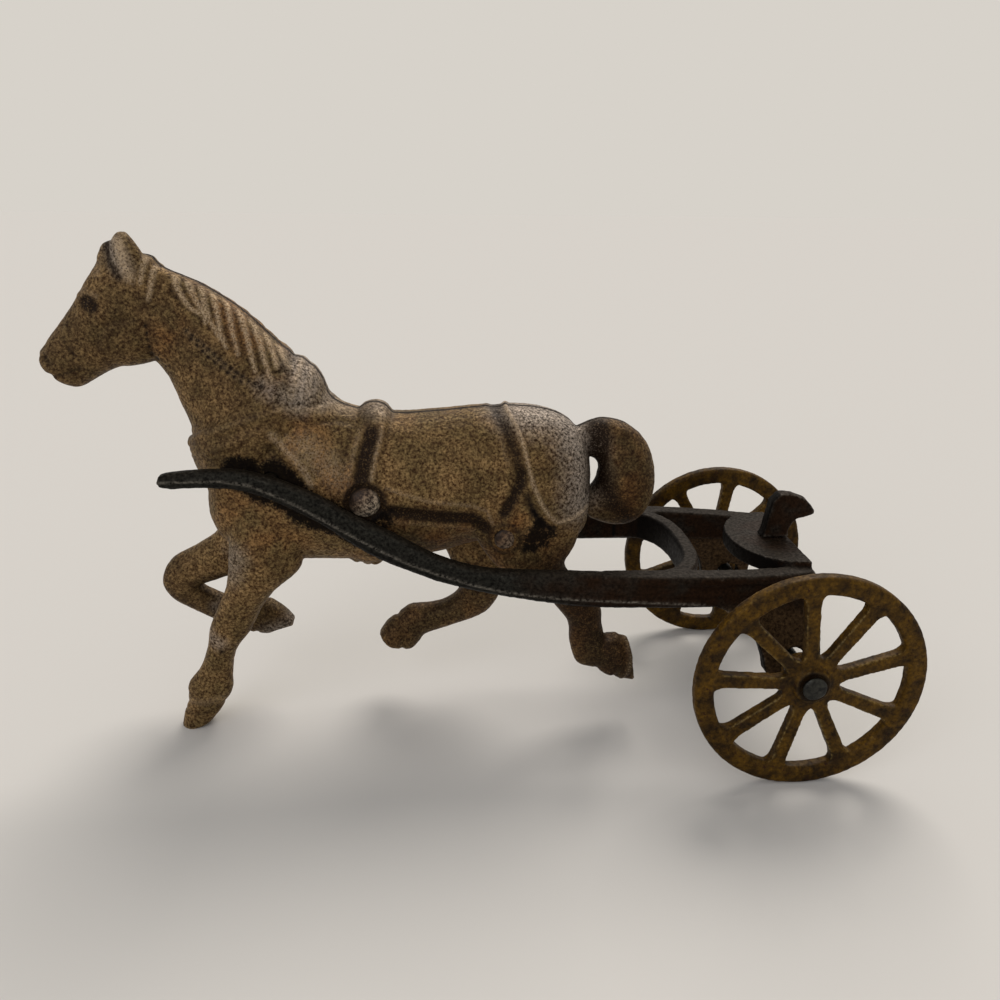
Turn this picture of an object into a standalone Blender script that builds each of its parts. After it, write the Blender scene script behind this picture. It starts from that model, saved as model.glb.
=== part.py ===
"""Cast iron toy: a horse between the shafts of a two-wheeled cart.

The horse is two hollow half castings riveted together, the cart is one casting
with a driver's post pegged into its seat plate, and two spoked wheels turn
loosely on a thin steel axle.

Metres, +Z up. The horse faces -X, its left side is -Y, and the origin is on the
ground under the middle of the toy.
"""
import math

import bmesh
import bpy
from mathutils import Vector

# Fits
FIT_GAP = 0.0003             # round a piece that is set in, or rests on, another
RUNNING_GAP = 0.00008        # radial, between the axle and a wheel's bore
SEAM_GAP = 0.0003            # between the two halves of the horse

# Horse
HORSE_HEIGHT = 0.1128        # sole of the standing hoof to the tips of the ears
HORSE_WIDTH = 0.0264         # across the barrel
HORSE_TO_AXLE = 0.0932       # girth rivet to axle, along the toy
SHELL_WALL = 0.0026          # thickness of each hollow half
CASTING_SOFTNESS = 0.0009    # how finely the blends between limbs and body are made

# Rivets through the horse
RIVET_RADIUS = 0.0014
RIVET_POST_WALL = 0.0018     # iron cast round each rivet inside the horse
GIRTH_HEAD_RADIUS = 0.0034
GIRTH_HEAD_HEIGHT = 0.0021
GIRTH_SEAT = 0.0124          # flat under the girth rivet's head, from the seam
FLANK_HEAD_RADIUS = 0.0023
FLANK_HEAD_HEIGHT = 0.0011
FLANK_SEAT = 0.0119          # flat under the flank rivet's head, from the seam
FLANK_RING_WALL = 0.0009     # raised ring cast round the flank rivet

# Cart frame
FRAME_WIDTH = 0.0440         # across the rails at their widest
RAIL_HEIGHT = 0.0440         # top of the rails above the ground
RAIL_DEPTH = 0.0080
RAIL_FLANGE_WIDTH = 0.0048
RAIL_FLANGE_DEPTH = 0.0022
RAIL_TAPER = 0.0040          # each rail turns in by this at its rear end
RAIL_FALL = 0.0012           # and drops by this
RAIL_END = 0.0060            # rails end this far behind the axle
RAIL_WIDEST = 0.0230         # rails are widest this far ahead of the axle
EDGE_BREAK = 0.0005          # cast edges are taken off by this
SHAFT_WIDTH = 0.0035
SHAFT_ROUNDING = 0.22        # share of a shaft's smaller side that its corners lose
SHAFT_SIDE_GAP = 0.0004      # between each shaft and the widest part of the horse
LUG_RADIUS = 0.0017          # pegs inside the shafts that the horse is closed on
LUG_BITE = 0.0026            # how far a lug enters the horse
ARCH_APEX = 0.0213           # front of the cross bar, ahead of the axle
ARCH_REACH = 0.0110          # how far its arms bend forward to meet the rails
ARCH_THICKNESS = 0.0036
ARCH_DEPTH = 0.0068
ARCH_DROP = 0.0001           # cross bar's top below the rails'
ARCH_FULLNESS = 2.6          # 2 would bow it as an ellipse, more is squarer
SEAT_FRONT = 0.0085          # front of the seat plate, ahead of the axle
SEAT_THICKNESS = 0.0036
SEAT_RISE = 0.0014           # seat plate's top above the rails' rear ends
SEAT_FULLNESS = 0.8          # 1 would make its front edge an ellipse, less is squarer
BRACKET_SPAN = 0.0500        # across the outsides of the axle brackets, at the axle
BRACKET_THICKNESS = 0.0030
BRACKET_END_RADIUS = 0.0066
BRACKET_FRONT = 0.0200       # where a bracket's front edge leaves its rail
BRACKET_BEND = 0.0090        # where that edge turns down, both ahead of the axle
BRACKET_SLACK = 0.0012       # radial, the oversize hole that the axle lies in
HANG_GAP = 0.0001            # left where the frame hangs on the axle
HANG_ANGLE = math.radians(135)  # the axle bears on this side of its holes

# Driver's post
POST_THICKNESS = 0.0032
POST_HEIGHT = 0.0108         # above the seat plate
POST_BEHIND = 0.0028         # middle of its foot, behind the axle
TENON_RADIUS = 0.0011
TENON_PROUD = 0.0004         # peened end under the plate
TENON_ROOT = 0.0010          # how far the peg runs up into the post

# Axle
AXLE_RADIUS = 0.0016
AXLE_HEAD_RADIUS = 0.0026
AXLE_HEAD_THICKNESS = 0.0009

# Wheels
WHEEL_RADIUS = 0.0250
RIM_DEPTH = 0.0042           # radial
RIM_WIDTH = 0.0032           # along the axle
RIM_EDGE = 0.0007            # taken off the tread's corners
SPOKE_COUNT = 9
SPOKE_WIDTH = 0.0030
SPOKE_THICKNESS = 0.0024
SPOKE_FILLET = 0.0011
SPOKE_FILLET_SHARE = 0.45    # most of a gap's narrow end that one fillet takes
LEFT_SPOKE_TURN = math.radians(96)   # where one spoke of each wheel has come to rest
RIGHT_SPOKE_TURN = math.radians(82)
RIM_STEP = 0.0004            # the spokes' web stands this far inside the rim
HUB_WEB_RADIUS = 0.0060
HUB_RADIUS = 0.0040
HUB_LENGTH = 0.0082
HUB_PROUD = 0.0006           # hub stands this far outside the rim
HUB_PLAY = 0.0030            # between a hub and its bracket
HEAD_PLAY = 0.0003           # between a hub and the axle's head

# The horse is drawn in units of which these make its height and width. Each
# station is (x, z) of its top or front edge, (x, z) of its bottom or back edge
# and a half width. x is negative ahead of the axle, z is up from the ground.
DRAWN_HEIGHT = 112.8
DRAWN_WIDTH = 26.4
DRAWN_NOSE = -159.8
DRAWN_GIRTH = (-93.2, 59.3)
DRAWN_FLANK = (-63.2, 49.9)
DRAWN_LUG = (-112.5, 64.2)

TORSO = [
    ((-127.6, 62), (-127.8, 51.4), 5.4), ((-124, 72), (-125, 46.4), 9.5),
    ((-118, 80), (-118, 43.2), 11.5), ((-110, 84), (-110, 42), 12.5),
    ((-103, 82), (-103, 41.8), 13), ((-98, 77.4), (-98, 41.8), 13),
    ((-87, 75.5), (-88, 41.8), 13.2), ((-76, 76), (-78, 43.2), 13),
    ((-67, 76.8), (-68, 45.8), 12.5), ((-58, 76.8), (-60, 46), 12.5),
    ((-51, 75.3), (-53, 44), 11.8), ((-46.5, 72), (-47, 45), 10),
    ((-43.5, 66), (-44, 48), 6.5),
]
NECK = [
    ((-101, 78), (-127, 56), 12), ((-103, 84.6), (-130.8, 66), 11),
    ((-110.5, 90.8), (-130.2, 72.5), 9.5), ((-117.3, 97.6), (-132.1, 78.5), 7.5),
    ((-125, 102.9), (-133.9, 83.8), 6), ((-132.7, 106.9), (-136.2, 87.2), 5.3),
    ((-138, 109), (-138.5, 88.6), 5),
]
HEAD = [
    ((-133, 104), (-135.2, 87.6), 4.8), ((-139.5, 108.3), (-138.5, 86.6), 5.4),
    ((-144.5, 107.6), (-141.5, 86.2), 5.6), ((-147.5, 104.5), (-143.8, 86), 5.8),
    ((-151, 99.5), (-147, 84.7), 5.4), ((-154.6, 95.2), (-150, 83), 4.6),
    ((-157.5, 91.8), (-152.6, 81.8), 4.3), ((-159.6, 88.5), (-154.6, 82.2), 3.9),
    ((-159.8, 86.6), (-156.6, 83.6), 2.2),
]
EAR = [
    ((-143.4, 104), (-134.8, 103.5), 2.6), ((-142.6, 108.4), (-135.8, 108), 2.4),
    ((-141.2, 111.6), (-137.6, 111.2), 1.9), ((-140, 113.2), (-138.8, 113.2), 1),
]
FORELOCK = [
    ((-145, 104), (-139, 104), 2.4), ((-144.4, 108), (-139.6, 107.6), 2.1),
    ((-143.5, 110.8), (-141, 110.6), 1.4),
]
COLLAR = [
    ((-109.5, 86.2), (-131.2, 70.5), 10.6), ((-107, 86.7), (-130.8, 67.5), 12.3),
    ((-104, 84.9), (-128.8, 63), 13.1), ((-101.6, 81.4), (-126, 58), 12.4),
]
SADDLE = [
    ((-95, 76.2), (-96.5, 41.4), 12.9), ((-91, 77.8), (-93, 40.4), 13.2),
    ((-87.5, 76.2), (-90, 41.2), 12.9),
]
TAIL = [
    ((-46, 72), (-45, 65.4), 3), ((-41, 73.8), (-42.6, 64.8), 4),
    ((-35, 72.5), (-41.4, 63.4), 5), ((-30, 68), (-41, 61.6), 5.5),
    ((-27.8, 61), (-41.1, 60), 5.8), ((-28.3, 54), (-41.6, 58.6), 5.5),
    ((-31.7, 49.3), (-42.4, 57.6), 5), ((-37, 48.3), (-43.4, 56.4), 4),
    ((-42.5, 50), (-44.4, 55.4), 2.6),
]
STANDING_FORE = [
    ((-124, 55), (-108, 52), 5), ((-124, 46), (-108.3, 42.4), 5),
    ((-125.3, 38), (-114.5, 36.5), 4.6), ((-127.5, 33), (-118, 31.8), 4.2),
    ((-130.2, 27), (-121, 26), 3.8), ((-131.6, 21), (-125, 20.5), 3.2),
    ((-134, 15.5), (-126.6, 14), 2.9), ((-137.2, 11.2), (-127, 10), 3.1),
    ((-137.3, 7.5), (-128.8, 6.5), 3), ((-139, 3.6), (-130.4, 3.8), 3.4),
    ((-140, -1), (-132.8, 0.8), 3.6),
]
RAISED_FORE = [
    ((-124, 56), (-110, 53), 5), ((-128, 50), (-112, 47), 5),
    ((-130, 45), (-121, 36.5), 4.8), ((-136, 41), (-129.5, 33.3), 4.3),
    ((-141.3, 38), (-133.8, 31.8), 4), ((-143.8, 33), (-134.8, 31), 3.8),
    ((-142.3, 28.6), (-134.3, 30.3), 3.4), ((-138, 25.3), (-131.5, 28.8), 3.1),
    ((-133, 22.3), (-128.5, 27.5), 3), ((-127.5, 19.5), (-123.5, 26), 3),
    ((-123.5, 18.2), (-120.5, 27), 3.4), ((-120, 17.8), (-118.2, 26), 3.7),
    ((-117, 19), (-115.6, 23.6), 3.4), ((-113.9, 19.8), (-113.6, 21.2), 2),
]
BACK_HIND = [
    ((-70, 62), (-46, 62), 5.4), ((-70.4, 55), (-45, 54), 5.5),
    ((-69.4, 48.6), (-46.8, 46.5), 5.2), ((-64, 41), (-49, 41.5), 4.8),
    ((-54.5, 35.5), (-45, 36), 4.3), ((-50.8, 31), (-40.3, 30.5), 4),
    ((-47.7, 26.5), (-39.6, 26), 3.5), ((-47, 20.8), (-38.3, 22.3), 3.3),
    ((-45.2, 15.8), (-36, 22.7), 3.4), ((-41, 14.2), (-34.5, 22.3), 3.5),
    ((-37.5, 12), (-33.3, 21.3), 3.8), ((-31.2, 10.6), (-33, 21.2), 4),
]
FRONT_HIND = [
    ((-79, 56), (-56, 58), 5.4), ((-79.4, 50), (-57, 50), 5.6), ((-77, 42), (-59.4, 39.4), 5),
    ((-73.8, 34), (-61.8, 32.4), 4.6), ((-72.5, 29), (-63, 26.6), 4.2),
    ((-75.5, 25.7), (-66.5, 22), 3.6), ((-80, 24.4), (-74, 18.9), 3.2),
    ((-85, 24), (-80.8, 16.6), 3.4), ((-88, 21.8), (-82.8, 14.3), 3.4),
    ((-91, 19.5), (-85, 12.3), 3.8), ((-92.8, 16.5), (-89.5, 12.8), 3.4),
]
LEG_OFFSET = 7.4             # legs from the seam, in drawn units
STANDING_FOOT_OFFSET = 3.9   # the standing leg draws in to this at its hoof
EAR_OFFSET = 2.5
RIGHT_EAR_DROP = 1.6         # the right ear's tip is worn down by this

# Shafts, drawn with the horse: x, top and bottom, from the tips to the flanks.
SHAFT_FRONT = [
    (-134.2, 66.6, 64.5), (-132.2, 67.2, 63.9), (-127, 67.7, 64), (-120, 67.8, 63.7),
    (-115.7, 67.1, 62.6), (-110, 65.3, 60.1), (-102, 61.6, 55.6), (-98, 59, 52.7),
    (-93, 56.3, 49.3), (-88, 54, 46.7), (-83, 51.2, 44.7), (-78.5, 48.8, 42.9),
    (-73.6, 47, 41.5), (-66, 45.4, 39.7),
]
DRAWN_SHOULDER = -105        # the shafts spread behind this
FLANGE_START = 0.96          # share of the shaft's width at which its flange begins

# The driver's post, drawn from the middle of its foot: (x, z) from its rear
# edge round the beak and down its front.
DRAWN_POST = [
    (2.6, 0), (2.7, 1.2), (3.5, 3.1), (4.5, 4.3), (6.7, 4.9), (8.5, 5.5), (8.8, 6.3),
    (7.7, 7.6), (6.2, 9.3), (2.9, 10.6), (-0.1, 10.8), (-1.9, 8.9), (-2.6, 5.1), (-3.3, 0),
]

KEPT_FACES = 0.06            # share of the blended mesh's faces that its form needs
SECTION_SIDES = 20
SECTION_FULLNESS = 2.3       # 2 would be an ellipse, more is squarer
SECTION_STEPS = 4
RIM_SEGMENTS = 54
ROUND_SEGMENTS = 16

HORSE_UNIT = HORSE_HEIGHT / DRAWN_HEIGHT
WIDTH_UNIT = HORSE_WIDTH / DRAWN_WIDTH
NOSE_AHEAD = (DRAWN_GIRTH[0] - DRAWN_NOSE) * HORSE_UNIT
AXLE_X = (HORSE_TO_AXLE + NOSE_AHEAD - WHEEL_RADIUS) / 2
GIRTH_X = AXLE_X - HORSE_TO_AXLE
AXLE_Z = WHEEL_RADIUS
HUB_INNER = BRACKET_SPAN / 2 + HUB_PLAY
HUB_OUTER = HUB_INNER + HUB_LENGTH
RIM_OUTER = HUB_OUTER - HUB_PROUD
RIM_MIDDLE = RIM_OUTER - RIM_WIDTH / 2
SEAT_TOP = RAIL_HEIGHT - RAIL_FALL + SEAT_RISE


def horse_point(x, z, y=0.0):
    """A drawn point of the horse, in the toy's metres."""
    along = GIRTH_X + (x - DRAWN_GIRTH[0]) * HORSE_UNIT
    return Vector((along, y * WIDTH_UNIT, z * HORSE_UNIT))


def material(name, colour, roughness, metallic):
    """A plain finish for one piece."""
    finish = bpy.data.materials.new(name)
    finish.use_nodes = True
    shader = finish.node_tree.nodes["Principled BSDF"]
    shader.inputs["Base Color"].default_value = (*colour, 1.0)
    shader.inputs["Roughness"].default_value = roughness
    shader.inputs["Metallic"].default_value = metallic
    return finish


def worn_brass_brown(name):
    """Old gilt paint worn to brown iron."""
    return material(name, (0.33, 0.22, 0.11), 0.6, 0.5)


def black_over_rust(name):
    """Black paint worn thin over rusted iron."""
    return material(name, (0.055, 0.045, 0.04), 0.55, 0.3)


def ochre_paint(name):
    """Mustard paint, speckled with rust on the real toy."""
    return material(name, (0.38, 0.21, 0.04), 0.55, 0.0)


def dark_steel(name):
    """Darkened steel rod."""
    return material(name, (0.07, 0.07, 0.065), 0.45, 0.8)


def new_object(name, bm):
    """Close a bmesh into an object with its faces pointing out."""
    bmesh.ops.recalc_face_normals(bm, faces=bm.faces)
    mesh = bpy.data.meshes.new(name)
    bm.to_mesh(mesh)
    bm.free()
    piece = bpy.data.objects.new(name, mesh)
    bpy.context.scene.collection.objects.link(piece)
    return piece


def skin(name, rings):
    """One closed body over a row of rings, each with as many points."""
    bm = bmesh.new()
    loops = [[bm.verts.new(point) for point in ring] for ring in rings]
    for near, far in zip(loops, loops[1:]):
        for index, vertex in enumerate(near):
            following = (index + 1) % len(near)
            bm.faces.new((vertex, near[following], far[following], far[index]))
    bm.faces.new(loops[0])
    bm.faces.new(loops[-1])
    return new_object(name, bm)


def turned(name, profile, segments=ROUND_SEGMENTS):
    """Turn a (radius, y) profile round the Y axis, with solid ends on the axis."""
    bm = bmesh.new()
    outline = [bm.verts.new((radius, y, 0.0)) for radius, y in profile]
    edges = [bm.edges.new(pair) for pair in zip(outline, outline[1:])]
    bmesh.ops.spin(bm, geom=outline + edges, axis=(0, 1, 0), cent=(0, 0, 0),
                   angle=math.tau, steps=segments, use_merge=True)
    bmesh.ops.remove_doubles(bm, verts=bm.verts, dist=0.00001)
    return new_object(name, bm)


def plate(name, outline, low, high):
    """Extrude an outline of (x, z) points from one y to another."""
    return skin(name, [[Vector((x, y, z)) for x, z in outline] for y in (low, high)])


def slab(name, outline, low, high):
    """Extrude an outline of (x, y) points from one height to another."""
    return skin(name, [[Vector((x, y, z)) for x, y in outline] for z in (low, high)])


def block(name, low, high):
    """A box between two corners."""
    corners = [(low[0], low[1]), (high[0], low[1]), (high[0], high[1]), (low[0], high[1])]
    return slab(name, corners, low[2], high[2])


def rod(name, x, z, radius, low, high, segments=ROUND_SEGMENTS):
    """A round bar along Y."""
    angles = [math.tau * (step + 0.5) / segments for step in range(segments)]
    outline = [(x + radius * math.cos(angle), z + radius * math.sin(angle)) for angle in angles]
    return plate(name, outline, low, high)


def shift(piece, offset):
    """Move a piece's mesh, leaving its origin where it is."""
    for vertex in piece.data.vertices:
        vertex.co += Vector(offset)


def settle(piece):
    """Make a piece's modifiers part of its mesh."""
    bpy.context.view_layer.update()
    seen = piece.evaluated_get(bpy.context.evaluated_depsgraph_get())
    mesh = bpy.data.meshes.new_from_object(seen)
    piece.modifiers.clear()
    piece.data = mesh
    mesh.name = piece.name


def merged(name, bodies):
    """Several separate bodies as one object, which uses them up."""
    bm = bmesh.new()
    for body in bodies:
        bm.from_mesh(body.data)
        bpy.data.objects.remove(body)
    return new_object(name, bm)


def combine(piece, tools, operation):
    """Join or cut a piece with other bodies, which are used up."""
    for tool in tools:
        modifier = piece.modifiers.new(operation, "BOOLEAN")
        modifier.operation = operation
        modifier.solver = "EXACT"
        modifier.object = tool
        settle(piece)
        bpy.data.objects.remove(tool)
    return piece


def between(start, end, share):
    """A value part of the way from one to another."""
    return start + (end - start) * share


def curve_through(rows, steps=SECTION_STEPS):
    """Rows of numbers on a smooth curve through the given rows."""
    result = []
    last = len(rows) - 1
    for index in range(last):
        before = rows[max(index - 1, 0)]
        start = rows[index]
        end = rows[index + 1]
        after = rows[min(index + 2, last)]
        for step in range(steps):
            t = step / steps
            result.append([
                0.5 * (2 * b + (c - a) * t + (2 * a - 5 * b + 4 * c - d) * t * t
                       + (3 * b - a - 3 * c + d) * t ** 3)
                for a, b, c, d in zip(before, start, end, after)])
    result.append(list(rows[last]))
    return result


def oval(top, bottom, half_width, side):
    """A full oval ring between two points of the horse's outline."""
    middle = (top + bottom) / 2
    reach = (top - bottom) / 2
    ring = []
    for index in range(SECTION_SIDES):
        angle = math.tau * index / SECTION_SIDES
        up = math.copysign(abs(math.cos(angle)) ** (2 / SECTION_FULLNESS), math.cos(angle))
        out = math.copysign(abs(math.sin(angle)) ** (2 / SECTION_FULLNESS), math.sin(angle))
        ring.append(middle + reach * up + Vector((0.0, side + half_width * out, 0.0)))
    return ring


def limb(name, stations, side=0.0, end_side=None, inset=0.0):
    """A body through drawn stations, which can lean sideways or be drawn in all round."""
    rows = curve_through([(*top, *bottom, width) for top, bottom, width in stations])
    rings = []
    for index, (top_x, top_z, bottom_x, bottom_z, width) in enumerate(rows):
        lean = 0.0 if end_side is None else (end_side - side) * index / (len(rows) - 1)
        top = horse_point(top_x, top_z)
        bottom = horse_point(bottom_x, bottom_z)
        inward = (bottom - top).normalized() * inset
        half_width = width * WIDTH_UNIT - inset
        middle = (side + lean) * WIDTH_UNIT
        rings.append(oval(top + inward, bottom - inward, half_width, middle))
    return skin(name, rings)


def lowered(stations):
    """Stations of the ear that stands lower."""
    return [((top_x, top_z - RIGHT_EAR_DROP), (bottom_x, bottom_z - RIGHT_EAR_DROP), width)
            for (top_x, top_z), (bottom_x, bottom_z), width in stations]


def solid_horse():
    """The whole horse as one solid, blended as a casting is."""
    bodies = [limb("torso", TORSO), limb("neck", NECK), limb("head", HEAD),
              limb("collar", COLLAR), limb("saddle", SADDLE), limb("tail", TAIL),
              limb("standing_fore", STANDING_FORE, -LEG_OFFSET, -STANDING_FOOT_OFFSET),
              limb("raised_fore", RAISED_FORE, LEG_OFFSET),
              limb("back_hind", BACK_HIND, -LEG_OFFSET),
              limb("front_hind", FRONT_HIND, LEG_OFFSET), limb("forelock", FORELOCK),
              limb("left_ear", EAR, -EAR_OFFSET), limb("right_ear", lowered(EAR), EAR_OFFSET)]
    horse = merged("horse", bodies)
    blend = horse.modifiers.new("blend", "REMESH")
    blend.mode = "VOXEL"
    blend.voxel_size = CASTING_SOFTNESS
    soften = horse.modifiers.new("soften", "SMOOTH")
    soften.factor = 0.5
    soften.iterations = 4
    thin = horse.modifiers.new("thin", "DECIMATE")
    thin.ratio = KEPT_FACES
    settle(horse)
    return horse


def rivet_places():
    """Each rivet's (x, z), head radius, head height and seat."""
    girth = horse_point(*DRAWN_GIRTH)
    flank = horse_point(*DRAWN_FLANK)
    return [
        ((girth.x, girth.z), GIRTH_HEAD_RADIUS, GIRTH_HEAD_HEIGHT, GIRTH_SEAT),
        ((flank.x, flank.z), FLANK_HEAD_RADIUS, FLANK_HEAD_HEIGHT, FLANK_SEAT),
    ]


def rivet_hole(place, reach):
    """The hole for one rivet, with a flat for its head at each end."""
    (x, z), head_radius, _, seat = place
    hole = RIVET_RADIUS + FIT_GAP
    head = head_radius + FIT_GAP
    profile = [(0.0, -reach), (head, -reach), (head, -seat), (hole, -seat)]
    profile += [(radius, -y) for radius, y in reversed(profile)]
    cutter = turned("rivet_hole", profile)
    shift(cutter, (x, 0.0, z))
    return cutter


def horse_half(name, horse, side):
    """One hollow half of the horse; side is -1 for its left and 1 for its right."""
    half = horse.copy()
    half.data = horse.data.copy()
    half.name = name
    bpy.context.scene.collection.objects.link(half)
    reach = HORSE_WIDTH
    inner = side * SEAM_GAP / 2
    outer = side * reach
    far = 2 * HORSE_HEIGHT
    keep = block("keep", (-far, min(inner, outer), 0.0), (far, max(inner, outer), far))
    combine(half, [keep], "INTERSECT")

    cavity = limb("cavity", TORSO[2:-2], inset=SHELL_WALL)
    posts = [rod("post", x, z, RIVET_RADIUS + FIT_GAP + RIVET_POST_WALL, -reach, reach)
             for (x, z), _, _, _ in rivet_places()]
    combine(cavity, posts, "DIFFERENCE")
    combine(half, [cavity], "DIFFERENCE")

    flank = rivet_places()[1]
    (x, z), head_radius, head_height, seat = flank
    ring_radius = head_radius + FIT_GAP + FLANK_RING_WALL
    ends = sorted((side * (seat - SHELL_WALL / 2), side * (seat + head_height / 2)))
    combine(half, [rod("ring", x, z, ring_radius, *ends)], "UNION")

    holes = [rivet_hole(place, reach) for place in rivet_places()]
    lug = horse_point(*DRAWN_LUG)
    lug_end = shoulder_inside() - SHAFT_SIDE_GAP - LUG_BITE - FIT_GAP
    ends = sorted((side * lug_end, side * reach))
    holes.append(rod("socket", lug.x, lug.z, LUG_RADIUS + FIT_GAP, *ends))
    return combine(half, [merged("holes", holes)], "DIFFERENCE")


def dome(radius, height, base, side, steps=4):
    """A domed head's (radius, y) profile from its middle down to its rim."""
    points = []
    for step in range(steps + 1):
        angle = math.pi / 2 * step / steps
        points.append((radius * math.sin(angle), side * (base + height * math.cos(angle))))
    return points


def rivet(name, place):
    """A rivet through both halves, domed over at each side."""
    (x, z), radius, height, seat = place
    base = seat + FIT_GAP
    profile = dome(radius, height, base, -1)
    profile += [(RIVET_RADIUS, -base), (RIVET_RADIUS, base)]
    profile += reversed(dome(radius, height, base, 1))
    piece = turned(name, profile)
    piece.location = (x, 0.0, z)
    return piece


def shoulder_inside():
    """From the seam to the inner face of a shaft at the horse's shoulder."""
    return HORSE_WIDTH / 2 + SHAFT_SIDE_GAP


def frame_rows():
    """Stations along one side of the frame: x, top, bottom and distance from the middle."""
    rows = []
    shoulder = shoulder_inside() + SHAFT_WIDTH / 2
    widest = FRAME_WIDTH / 2 - RAIL_FLANGE_WIDTH / 2
    shoulder_x = horse_point(DRAWN_SHOULDER, 0).x
    widest_x = AXLE_X - RAIL_WIDEST
    for x, top, bottom in SHAFT_FRONT:
        upper = horse_point(x, top)
        lower = horse_point(x, bottom)
        share = max(0.0, (upper.x - shoulder_x) / (widest_x - shoulder_x))
        out = between(shoulder, widest, math.sin(share * math.pi / 2))
        rows.append((upper.x, upper.z, lower.z, out))
    flank_x = rows[-1][0]
    for step in (0.4, 0.7, 1.0):
        x = between(flank_x, widest_x, step)
        share = (x - shoulder_x) / (widest_x - shoulder_x)
        out = between(shoulder, widest, math.sin(share * math.pi / 2))
        top = between(rows[-1][1], RAIL_HEIGHT, step)
        rows.append((x, top, top - RAIL_DEPTH, out))
    for step in (0.35, 0.7, 1.0):
        x = between(widest_x, AXLE_X + RAIL_END, step)
        top = RAIL_HEIGHT - RAIL_FALL * step
        rows.append((x, top, RAIL_HEIGHT - RAIL_DEPTH, widest - RAIL_TAPER * step ** 2))
    return rows


def bar_ring(x, top, bottom, middle, half_width, chamfer):
    """An upright eight-cornered section across a shaft or rail."""
    corners = []
    for across, up in ((-1, -1), (1, -1), (1, 1), (-1, 1)):
        y = middle + across * half_width
        z = top if up > 0 else bottom
        inward_y = y - across * chamfer
        inward_z = z - up * chamfer
        pair = [Vector((x, inward_y, z)), Vector((x, y, inward_z))]
        corners += pair if across * up < 0 else reversed(pair)
    return corners


def shaft(side):
    """One shaft with the wall of its rail, from tip to rear end."""
    rings = []
    for x, top, bottom, out in curve_through(frame_rows(), 2):
        chamfer = min(SHAFT_WIDTH, top - bottom) * SHAFT_ROUNDING
        rings.append(bar_ring(x, top, bottom, side * out, SHAFT_WIDTH / 2, chamfer))
    return skin("shaft", rings)


def flange(side):
    """The wide top of one rail, which dies into the shaft ahead of it."""
    rings = []
    start = AXLE_X - RAIL_WIDEST - 2 * ARCH_REACH
    for x, top, _, out in curve_through(frame_rows(), 2):
        if x < start:
            continue
        share = min(1.0, (x - start) / ARCH_REACH)
        width = between(SHAFT_WIDTH * FLANGE_START, RAIL_FLANGE_WIDTH, share)
        under = top - RAIL_FLANGE_DEPTH
        rings.append(bar_ring(x, top, under, side * out, width / 2, EDGE_BREAK))
    return skin("flange", rings)


def lug(side):
    """A peg on a shaft's inner face that the halves of the horse close on."""
    centre = horse_point(*DRAWN_LUG)
    inside = shoulder_inside()
    ends = sorted((side * (inside - SHAFT_SIDE_GAP - LUG_BITE), side * (inside + SHAFT_WIDTH / 2)))
    return rod("lug", centre.x, centre.z, LUG_RADIUS, *ends)


def arch_point(angle, grow):
    """A point of the cross bar's plan; grow moves it off the front edge."""
    across = FRAME_WIDTH / 2 - RAIL_FLANGE_WIDTH + grow
    along = ARCH_REACH + grow
    full = 2 / ARCH_FULLNESS
    y = across * math.copysign(abs(math.sin(angle)) ** full, math.sin(angle))
    x = AXLE_X - ARCH_APEX - ARCH_REACH + along * abs(math.cos(angle)) ** full
    return x, y


def cross_bar(steps=14):
    """The bar behind the tail, bowed back, that ties the rails together."""
    top = RAIL_HEIGHT - ARCH_DROP
    angles = [math.pi * (step / steps - 0.5) for step in range(steps + 1)]
    rings = []
    for angle in angles:
        inner = Vector((*arch_point(angle, 0.0), 0.0))
        outer = Vector((*arch_point(angle, ARCH_THICKNESS), 0.0))
        chamfer = (outer - inner).normalized() * EDGE_BREAK
        up = Vector((0.0, 0.0, top))
        down = Vector((0.0, 0.0, top - ARCH_DEPTH))
        drop = Vector((0.0, 0.0, EDGE_BREAK))
        rings.append([inner + up - drop, inner + chamfer + up, outer - chamfer + up,
                      outer + up - drop, outer + down, inner + down])
    return skin("cross_bar", rings)


def seat_plate(steps=14):
    """The half-oval plate at the rear that carries the driver's post."""
    rear = AXLE_X + RAIL_END
    half_width = FRAME_WIDTH / 2 - RAIL_FLANGE_WIDTH / 2 - RAIL_TAPER
    outline = []
    for step in range(steps + 1):
        angle = math.pi * step / steps
        x = rear - (RAIL_END + SEAT_FRONT) * math.sin(angle) ** SEAT_FULLNESS
        outline.append((x, half_width * math.cos(angle)))
    return slab("seat_plate", outline, SEAT_TOP - SEAT_THICKNESS, SEAT_TOP)


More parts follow.
